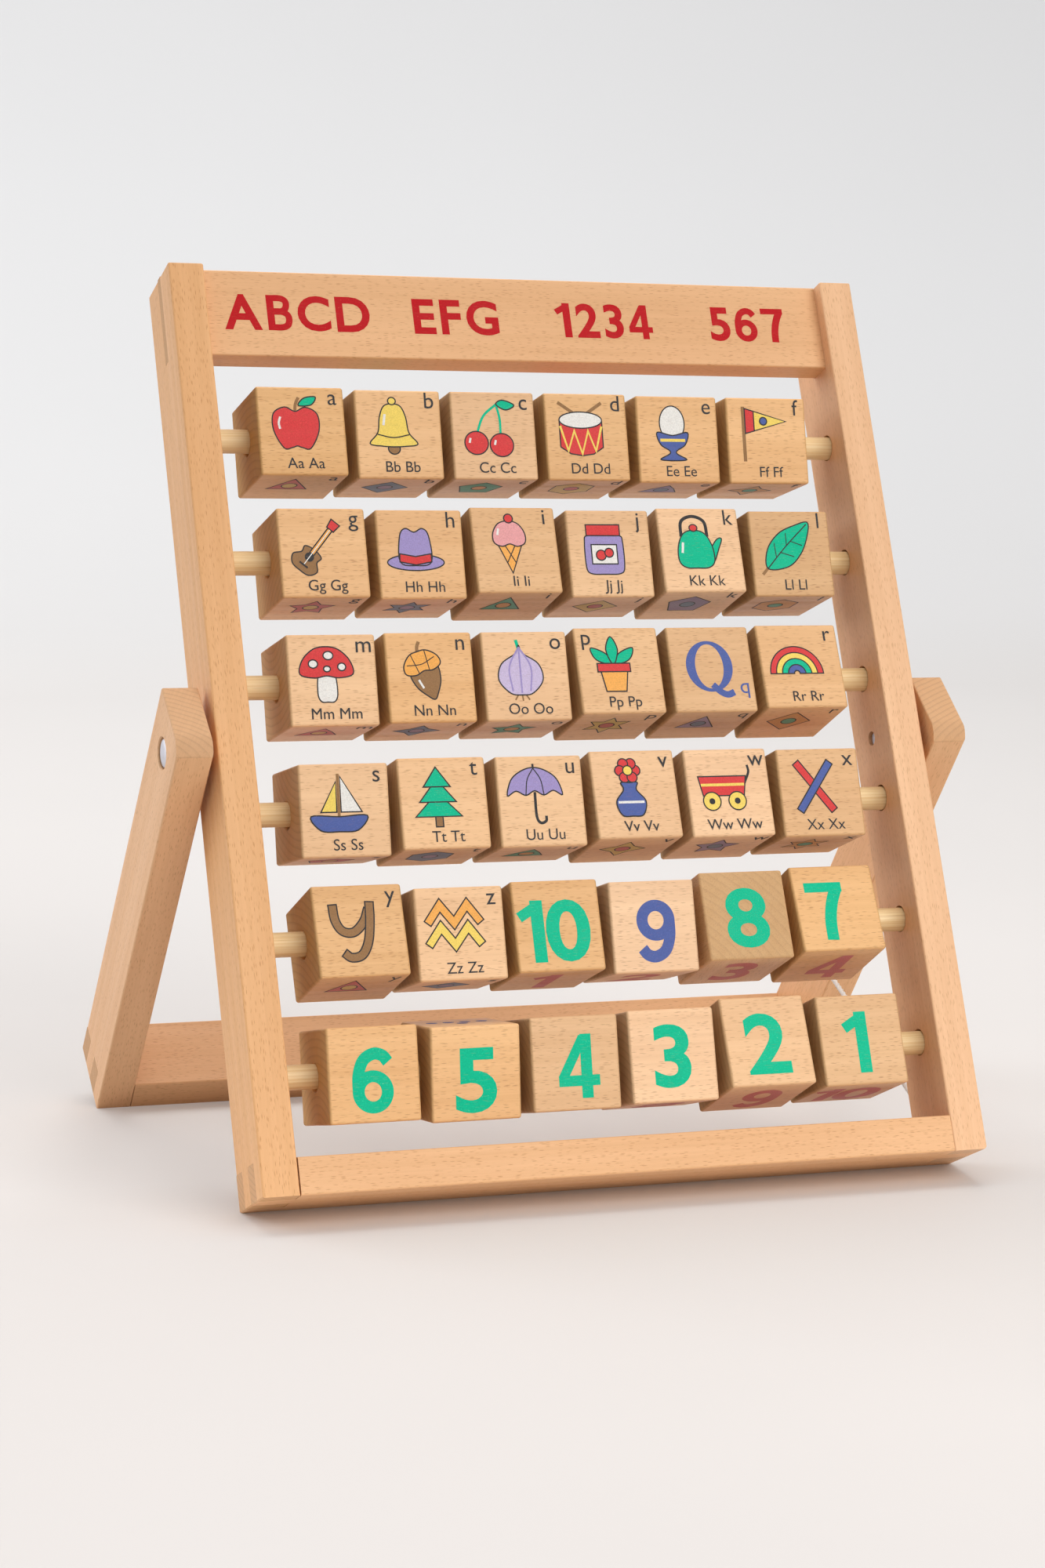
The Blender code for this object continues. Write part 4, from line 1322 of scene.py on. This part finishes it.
def strokeSides(path, width, closed):
    # Points half a width to each side of the path, pushed out at its corners
    path = np.asarray(path, float)
    ahead = np.roll(path, -1, 0) - path
    if not closed:
        ahead[-1] = ahead[-2]
    ahead /= np.maximum(np.linalg.norm(ahead, axis=1, keepdims=True), 1e-9)
    behind = np.roll(ahead, 1, 0)
    if not closed:
        behind[0] = ahead[0]
    normal = np.stack([-ahead[:, 1], ahead[:, 0]], 1)
    aside = normal + np.stack([-behind[:, 1], behind[:, 0]], 1)
    aside /= np.maximum(np.linalg.norm(aside, axis=1, keepdims=True), 1e-9)
    aside /= np.maximum((aside * normal).sum(1, keepdims=True), printLook["sharpest"])
    return path + aside * width / 2, path - aside * width / 2


def filled(outline):
    triangles = tessellate_polygon([[Vector((x, y, 0)) for x, y in outline]])
    return np.asarray(outline, float), [list(triangle) for triangle in triangles]


def outlined(path, colour):
    # The fill of a closed path, and a dark strip that runs round it
    sides = strokeSides(path, printLook["outline"], True)
    strip = np.concatenate(sides), gridFaces(2, len(path))
    return [(*filled(path), colour), (*strip, "ink")]


def arcOf(count, end=2 * np.pi, whole=False):
    angle = np.linspace(0, end, count, endpoint=whole)
    return np.stack([np.cos(angle), np.sin(angle)], 1)


def ovalPath(x, y, wide, tall):
    fewest, perMm = printLook["ovalSides"]
    sides = max(fewest, int(perMm * max(wide, tall)))
    return (x, y) + arcOf(sides) * (wide, tall)


def bowlShape(x, y, outerWide, outerTall, innerWide, innerTall):
    # The room between two ovals
    ring = arcOf(printLook["bowlSides"])
    ovals = [ring * (outerWide, outerTall), ring * (innerWide, innerTall)]
    return np.concatenate(ovals) + (x, y), gridFaces(2, len(ring))


def archPath(x, y, outer, inner):
    arc = arcOf(printLook["archSteps"], np.pi, True)
    return np.concatenate([arc * outer, arc[::-1] * inner]) + (x, y)


def starPath(tips, outer, inner):
    # A star with that many tips; a plain polygon where the inner radius is half way along its sides
    corner = np.arange(2 * tips)
    angle = np.pi / 2 + np.pi * corner / tips
    radius = np.where(corner % 2 == 0, outer, inner)
    return np.stack([radius * np.cos(angle), radius * np.sin(angle)], 1)


def mirroredPath(half):
    half = np.asarray(half, float)
    other = half[::-1] * (-1, 1)
    return np.concatenate([half, other[other[:, 0] < 0]])


def shapePath(kind, data):
    if kind == "both":
        return smoothPath(mirroredPath(data), printLook["bothSteps"], True)
    if kind == "blob":
        return smoothPath(data, printLook["curveSteps"], True)
    if kind == "oval":
        return ovalPath(*data)
    if kind == "arch":
        return archPath(*data)
    return np.asarray(data, float)


def drawShape(kind, colour, data, width=0.0):
    # One shape as a list of (points, faces, colour): its fill and, for a solid shape, its outline
    if kind == "bowl":
        return [(*bowlShape(*data), colour)]
    if kind in ("line", "ribbon", "rule", "band"):
        curved = kind in ("line", "ribbon")
        path = smoothPath(data, printLook["curveSteps"]) if curved else data
        left, right = strokeSides(path, width, False)
        outline = np.concatenate([left, right[::-1]])
    else:
        outline = shapePath(kind, data)
    return [(*filled(outline), colour)] if kind in ("line", "rule") else outlined(outline, colour)


def placed(drawn, scale, offset):
    return [(points * scale + offset, faces, colour) for points, faces, colour in drawn]


def drawPicture(shapes):
    turn = 0.0
    drawn = []
    for shape in shapes:
        if shape[0] == "turn":
            turn = math.radians(shape[1])
        else:
            drawn += drawShape(*shape)
    spin = np.array([[math.cos(turn), -math.sin(turn)], [math.sin(turn), math.cos(turn)]])
    turned = [(points @ spin.T, faces, colour) for points, faces, colour in drawn]
    return placed(turned, printLook["pictureScale"], printLook["pictureShift"])


glyphs = {}


def glyph(text, bold):
    # Flat letters of the built-in font as points and faces, about one unit tall, with the baseline at 0
    if (text, bold) not in glyphs:
        words = bpy.data.curves.new("words", "FONT")
        words.body = text
        words.align_x = "CENTER"
        words.offset = bold
        words.resolution_u = printLook["fontSteps"]
        holder = linked("words", words)
        flat = evaluatedMesh(holder)
        glyphs[text, bold] = meshPoints(flat)[:, :2], [list(face.vertices) for face in flat.polygons]
        bpy.data.objects.remove(holder)
    return glyphs[text, bold]


def write(text, place, size, colour):
    return placed([(*glyph(text, 0.0), colour)], size, place)


def writeTall(text, place, tall, colour, bold, wide=1.0):
    # Text scaled to a height and centred on a place
    points, faces = glyph(text, bold)
    low, high = points.min(0), points.max(0)
    centred = (points - (low + high) / 2) * (wide, 1)
    return [(centred * tall / (high - low)[1] + place, faces, colour)]


def drawSign(sign, place, tall, colour, bold, wide=1.0):
    # From its own strokes, which are as tall as a cube's figure, or from the built-in font
    if sign not in signStrokes:
        return writeTall(sign, place, tall, colour, bold, wide)
    drawn = []
    for kind, data, width in signStrokes[sign]:
        drawn += drawShape(kind, colour, data, width)
    return placed(drawn, tall / printLook["digitTall"], place)


def letterFront(letter):
    place, colour = smallLetters.get(letter, (printLook["letterPlace"], "letter"))
    small = write(letter, place, printLook["letterSize"], colour)
    if letter in bigLetters:
        return drawPicture(bigLetters[letter]) + small
    pair = letter.upper() + letter
    caption = write(f"{pair} {pair}", printLook["captionPlace"], printLook["captionSize"], "letter")
    return drawPicture(pictures[letter]) + small + caption


def letterUnder(index, letter):
    # A polygon or a star with a dot, whose sides and colours follow from its place in the alphabet
    outer, dot, colours = (figureLook[part] for part in ("outer", "dot", "colours"))
    starred, kind = divmod(index, len(figureLook["tips"]))
    tips = figureLook["tips"][kind]
    inner = outer * (figureLook["starWaist"] if starred % 2 else math.cos(math.pi / tips))
    shift = printLook["pictureShift"]
    drawn = outlined(starPath(tips, outer, inner) + shift, colours[index % len(colours)])
    drawn += outlined(ovalPath(*shift, dot, dot), colours[(index + 3) % len(colours)])
    return drawn + write(letter, printLook["letterPlace"], printLook["letterSize"], "letter")


def letterFaces(index, letter):
    colours, bold = backLook["colours"], backLook["bold"]
    first, second = (colours[(index + step) % len(colours)] for step in (0, 2))
    capital = writeTall(letter.upper(), (0, 0), backLook["capital"], first, bold)
    small = writeTall(letter, (0, 0), backLook["small"], second, bold)
    return letterFront(letter), letterUnder(index, letter), small, capital


def countingDots(count, look):
    longest, apart = look["inRow"], look["apart"]
    rows = math.ceil(count / longest)
    drawn = []
    for dot in range(count):
        row, column = divmod(dot, longest)
        inRow = min(longest, count - longest * row)
        place = apart * (column - (inRow - 1) / 2), apart * ((rows - 1) / 2 - row)
        drawn.append((*filled(ovalPath(*place, look["radius"], look["radius"])), look["colour"]))
    return drawn


def drawNumber(number, colour, look):
    drawn = []
    for index, digit in enumerate(number):
        x, y = digitPlaces[number]
        x += look["pairPlaces"][index] if len(number) > 1 else 0
        drawn += drawSign(digit, (x, y), look["digitTall"], colour, look["digitBold"], look["digitWide"])
    return drawn


def numberFaces(name):
    number = int(name)
    front = drawNumber(name, "blue" if number == 9 else "green", printLook)
    under = drawNumber(str(11 - number), "rose", printLook)  # counts the other way, in the darker underside ink, which partly paints shade
    back = drawNumber(name, "purple", printLook)
    return front, under, back, countingDots(number, dotLook)


def printMesh(name, sides, front, heart, axis):
    # Each side's shapes lie in the front plane and are turned about X to their own face of the block
    shapes, colours = [], []
    for quarter, drawn in sides:
        turn = turnAboutX(quarter * math.pi / 2)
        for layer, (flat, faces, colour) in enumerate(drawn):
            depth = -front - printLook["lift"] - layer * printLook["step"]
            laid = np.stack([flat[:, 0] * mm, np.full(len(flat), depth), flat[:, 1] * mm], 1)
            shapes.append((laid @ turn.T, faces))
            colours.append(np.tile(rgba(inkColours[colour]), (len(flat), 1)))
    mesh = newMesh(name, shapes)
    setAttribute(mesh, "ink", "FLOAT_COLOR", "POINT", np.concatenate(colours))
    setAttribute(mesh, "grain", "FLOAT_VECTOR", "POINT", grainOf(meshPoints(mesh), axis, heart))
    return mesh


def faceOutwards(mesh):
    # Every film's faces look away from the middle of the block that it lies on
    skin = bmesh.new()
    skin.from_mesh(mesh)
    inward = [face for face in skin.faces if face.normal.dot(face.calc_center_median()) < 0]
    bmesh.ops.reverse_faces(skin, faces=inward)
    skin.to_mesh(mesh)
    skin.free()


def addPrint(mesh, turn, origin, slot, body):
    faceOutwards(mesh)
    putInPlace(mesh, turn, origin)
    film = addPiece(mesh.name, mesh, printInk, slot, body).modifiers.new("film", "SOLIDIFY")
    film.thickness = printLook["film"]
    film.offset = -1.0


for index, name in enumerate(cubeNames):
    sides = enumerate(numberFaces(name) if name.isdigit() else letterFaces(index, name))
    mesh = printMesh(f"cube_{name}_print", sides, cubeLook["edge"] / 2, cubeHearts[name], grainAxis(name))
    addPrint(mesh, cubeTurns[name], cubePlaces[name], "cube_beech", f"cube_{name}")
print("cubes printed")

# Title board's print: red capitals and numbers in groups along the board
titleLook = {
    "groups": (("ABCD", -80.0), ("EFG", -24.0), ("1234", 30.0), ("567", 84.0)),
    "gap": 2.0,  # between two signs
    "tall": 12.8,
    "bold": 0.026,
    "rise": 0.3,
}


def rowOfSigns(text, x, look):
    # Signs with the same gap between them, centred on a place, each a side of its own for printMesh
    signs = [drawSign(sign, (0, look["rise"]), look["tall"], "title", look["bold"]) for sign in text]
    reaches = [np.concatenate([shape[0] for shape in sign])[:, 0] for sign in signs]
    lows = np.array([reach.min() for reach in reaches])
    highs = np.array([reach.max() for reach in reaches])
    ends = np.cumsum(highs - lows + look["gap"])
    offsets = x + ends - look["gap"] - highs - (ends[-1] - look["gap"]) / 2
    return [(0, placed(sign, 1.0, (offset, 0))) for sign, offset in zip(signs, offsets)]


def addTitle(look):
    low, high = squareBox("title_board", leanTurn)
    signs = []
    for text, x in look["groups"]:
        signs += rowOfSigns(text, x, look)
    heart = np.array(barGrains["title_board"][0]) * mm
    mesh = printMesh("title_print", signs, (high[1] - low[1]) / 2, heart, "x")
    addPrint(mesh, leanTurn, pivot + leanTurn @ ((low + high) / 2), "beech", "rack")


addTitle(titleLook)
print("title printed")

# Floor and backdrop, one pale sheet that curves up behind, and soft light from above and the front right
stageLook = {
    "floor": (0.67, 0.635, 0.613),
    "wall": (0.92, 0.92, 0.925),
    "turnsToWall": (1.1, 2.1),  # how far back
    "thrown": (0.66, 0.66, 0.67),  # colour of the light that the floor throws back
    "floorGlow": (0.89, 0.865, 0.845),  # what the camera sees where no light is kept off
    "wallGlow": (0.88, 0.875, 0.875),
    "glowTurns": (0.2, 2.0),  # how far back
    "glow": (0.20, 0.55),  # on the floor and up the wall; on the floor it is painted light that lifts the shadows
    "heldGlow": (-0.064, -0.03, 0.19, 0.0),  # before the rail's foot and behind it, and taken off there, so the painted light lifts the floor's shadows only behind the rail
    "bounce": (0.22, 0.75, 1.0, 0.25),  # near and far from the object, and the light thrown back there
    "footStrip": -0.10,  # before the rail, where more is thrown back
    "footBounce": (0.0, 0.07, 0.50, 0.0),  # on the strip and beside it, and what is added there
    "wallBounce": 0.85,
    "bounceTurns": (1.2, 1.9),
    "mottle": (*noiseBand, 0.985, 1.015),
    "mottleCells": ((3, 3, 3), 3.0),
    "roughness": 0.85,
    "back": 1.5,
    "front": -2.6,
    "top": 2.6,
    "bend": 0.7,
    "bendSteps": 33,
    "half": 3.0,
}
lightLook = {
    "world": (0.96, 0.97, 1.0),
    "worldStrength": (0.08, 0.74),  # at the horizon and overhead
    "worldSeen": 0.80,  # past the edges of the backdrop
    "aim": (0, 0, 0.12),
    "key": {"place": (0.65, -1.45, 0.98), "size": 1.5, "watts": 22.0, "colour": (1.0, 0.98, 0.95)},
    "fill": {"place": (-1.45, 0.85, 0.7), "size": 1.4, "watts": 16.0, "colour": (0.93, 0.96, 1.0)},
    "top": {"place": (0.0, 0.75, 1.8), "size": 1.6, "watts": 20.5, "colour": (1.0, 0.99, 0.97)},
}


def seenRays(tree):
    # 1 on the rays that show the stage itself, straight or in metal, and 0 on those that light the object
    path = addNode(tree, "ShaderNodeLightPath").outputs
    seen = math2(tree, "MAXIMUM", path["Is Camera Ray"], path["Is Glossy Ray"])
    return math2(tree, "MAXIMUM", seen, path["Is Transmission Ray"])


def sweepMesh(look):
    # A floor line, a quarter circle and a wall line, carried sideways
    back, bend = look["back"], look["bend"]
    arc = np.linspace(0, np.pi / 2, look["bendSteps"])
    y = np.concatenate([[look["front"]], back + bend * np.sin(arc), [back + bend]])
    z = np.concatenate([[0], bend * (1 - np.cos(arc)), [look["top"]]])
    rows = [np.stack([np.full(len(y), x), y, z], 1) for x in (look["half"], -look["half"])]
    step = np.arange(len(y) - 1)
    faces = np.stack([step, step + 1, step + 1 + len(y), step + len(y)], 1)
    mesh = newMesh("paperSweep", [(np.concatenate(rows), faces.tolist())])
    mesh.shade_smooth()
    return mesh


def thrownBack(tree, place, depth, look):
    # How much light the paper throws on the object: most from beside its foot, less from far away
    away = addNode(tree, "ShaderNodeVectorMath", {0: place}, operation="LENGTH").outputs["Value"]
    fromStrip = math2(tree, "ABSOLUTE", math2(tree, "SUBTRACT", depth, look["footStrip"]), 0.0)
    added = ranged(tree, fromStrip, *look["footBounce"])
    bounce = math2(tree, "ADD", ranged(tree, away, *look["bounce"]), added)
    onWall = ranged(tree, depth, *look["bounceTurns"], 0.0, 1.0)
    return between(tree, onWall, bounce, look["wallBounce"])


def makePaper(look):
    # Seen rays show a paper that glows a little, which paints light into its shadows behind the rail, and the rest
    # only what it throws back
    material, tree, shader = newMaterial("palePaper")
    place = objectPlace(tree)
    depth = addNode(tree, "ShaderNodeSeparateXYZ", {0: place}).outputs[1]
    seen = seenRays(tree)
    # Painted light: the glow lifts the floor's shadows, except in front of the rail's foot
    held = ranged(tree, depth, *look["heldGlow"])
    glowing = math2(tree, "SUBTRACT", ranged(tree, depth, *look["glowTurns"], *look["glow"]), held)
    shown = math2(tree, "SUBTRACT", 1.0, glowing)
    level = between(tree, seen, thrownBack(tree, place, depth, look), shown)
    mottle = ranged(tree, noiseOf(tree, place, *look["mottleCells"]), *look["mottle"])
    colour = stained(tree, rgba(look["floor"]), depth, (*look["turnsToWall"], 0.0, 1.0), look["wall"])
    colour = mixed(tree, seen, rgba(look["thrown"]), colour)
    inputs = {"Color": colour, "Value": math2(tree, "MULTIPLY", mottle, level)}
    glow = stained(tree, rgba(look["floorGlow"]), depth, (*look["glowTurns"], 0.0, 1.0), look["wallGlow"])
    setInputs(tree, shader, {
        "Base Color": addNode(tree, "ShaderNodeHueSaturation", inputs).outputs[0],
        "Emission Color": glow,
        "Emission Strength": math2(tree, "MULTIPLY", seen, glowing),
        "Roughness": look["roughness"],
    })
    return material


def addStage(look):
    mesh = sweepMesh(look)
    mesh.materials.append(makePaper(look))
    sweep = linked("paperSweep", mesh)


def addSoftbox(name, look, aim):
    lamp = bpy.data.lights.new(name, "AREA")
    lamp.size = look["size"]
    lamp.energy = look["watts"]
    lamp.color = look["colour"]
    softbox = linked(name, lamp)
    softbox.location = look["place"]
    sight = Vector(aim) - Vector(look["place"])
    softbox.rotation_euler = sight.to_track_quat("-Z", "Y").to_euler()


def addWorld(look):
    # Light from all round, growing stronger from the horizon to overhead
    world = bpy.data.worlds.new("studio")
    world.use_nodes = True
    tree = world.node_tree
    direction = addNode(tree, "ShaderNodeTexCoord").outputs["Generated"]
    height = addNode(tree, "ShaderNodeSeparateXYZ", {0: direction}).outputs[2]
    lighting = ranged(tree, height, 0.0, 1.0, *look["worldStrength"])
    strength = between(tree, seenRays(tree), lighting, look["worldSeen"])
    setInputs(tree, tree.nodes["Background"], {"Color": rgba(look["world"]), "Strength": strength})
    scene.world = world


addStage(stageLook)
for lamp in ("key", "fill", "top"):
    addSoftbox(lamp + "Softbox", lightLook[lamp], lightLook["aim"])
addWorld(lightLook)
scene.view_settings.view_transform = "Standard"
print("stage and light set")
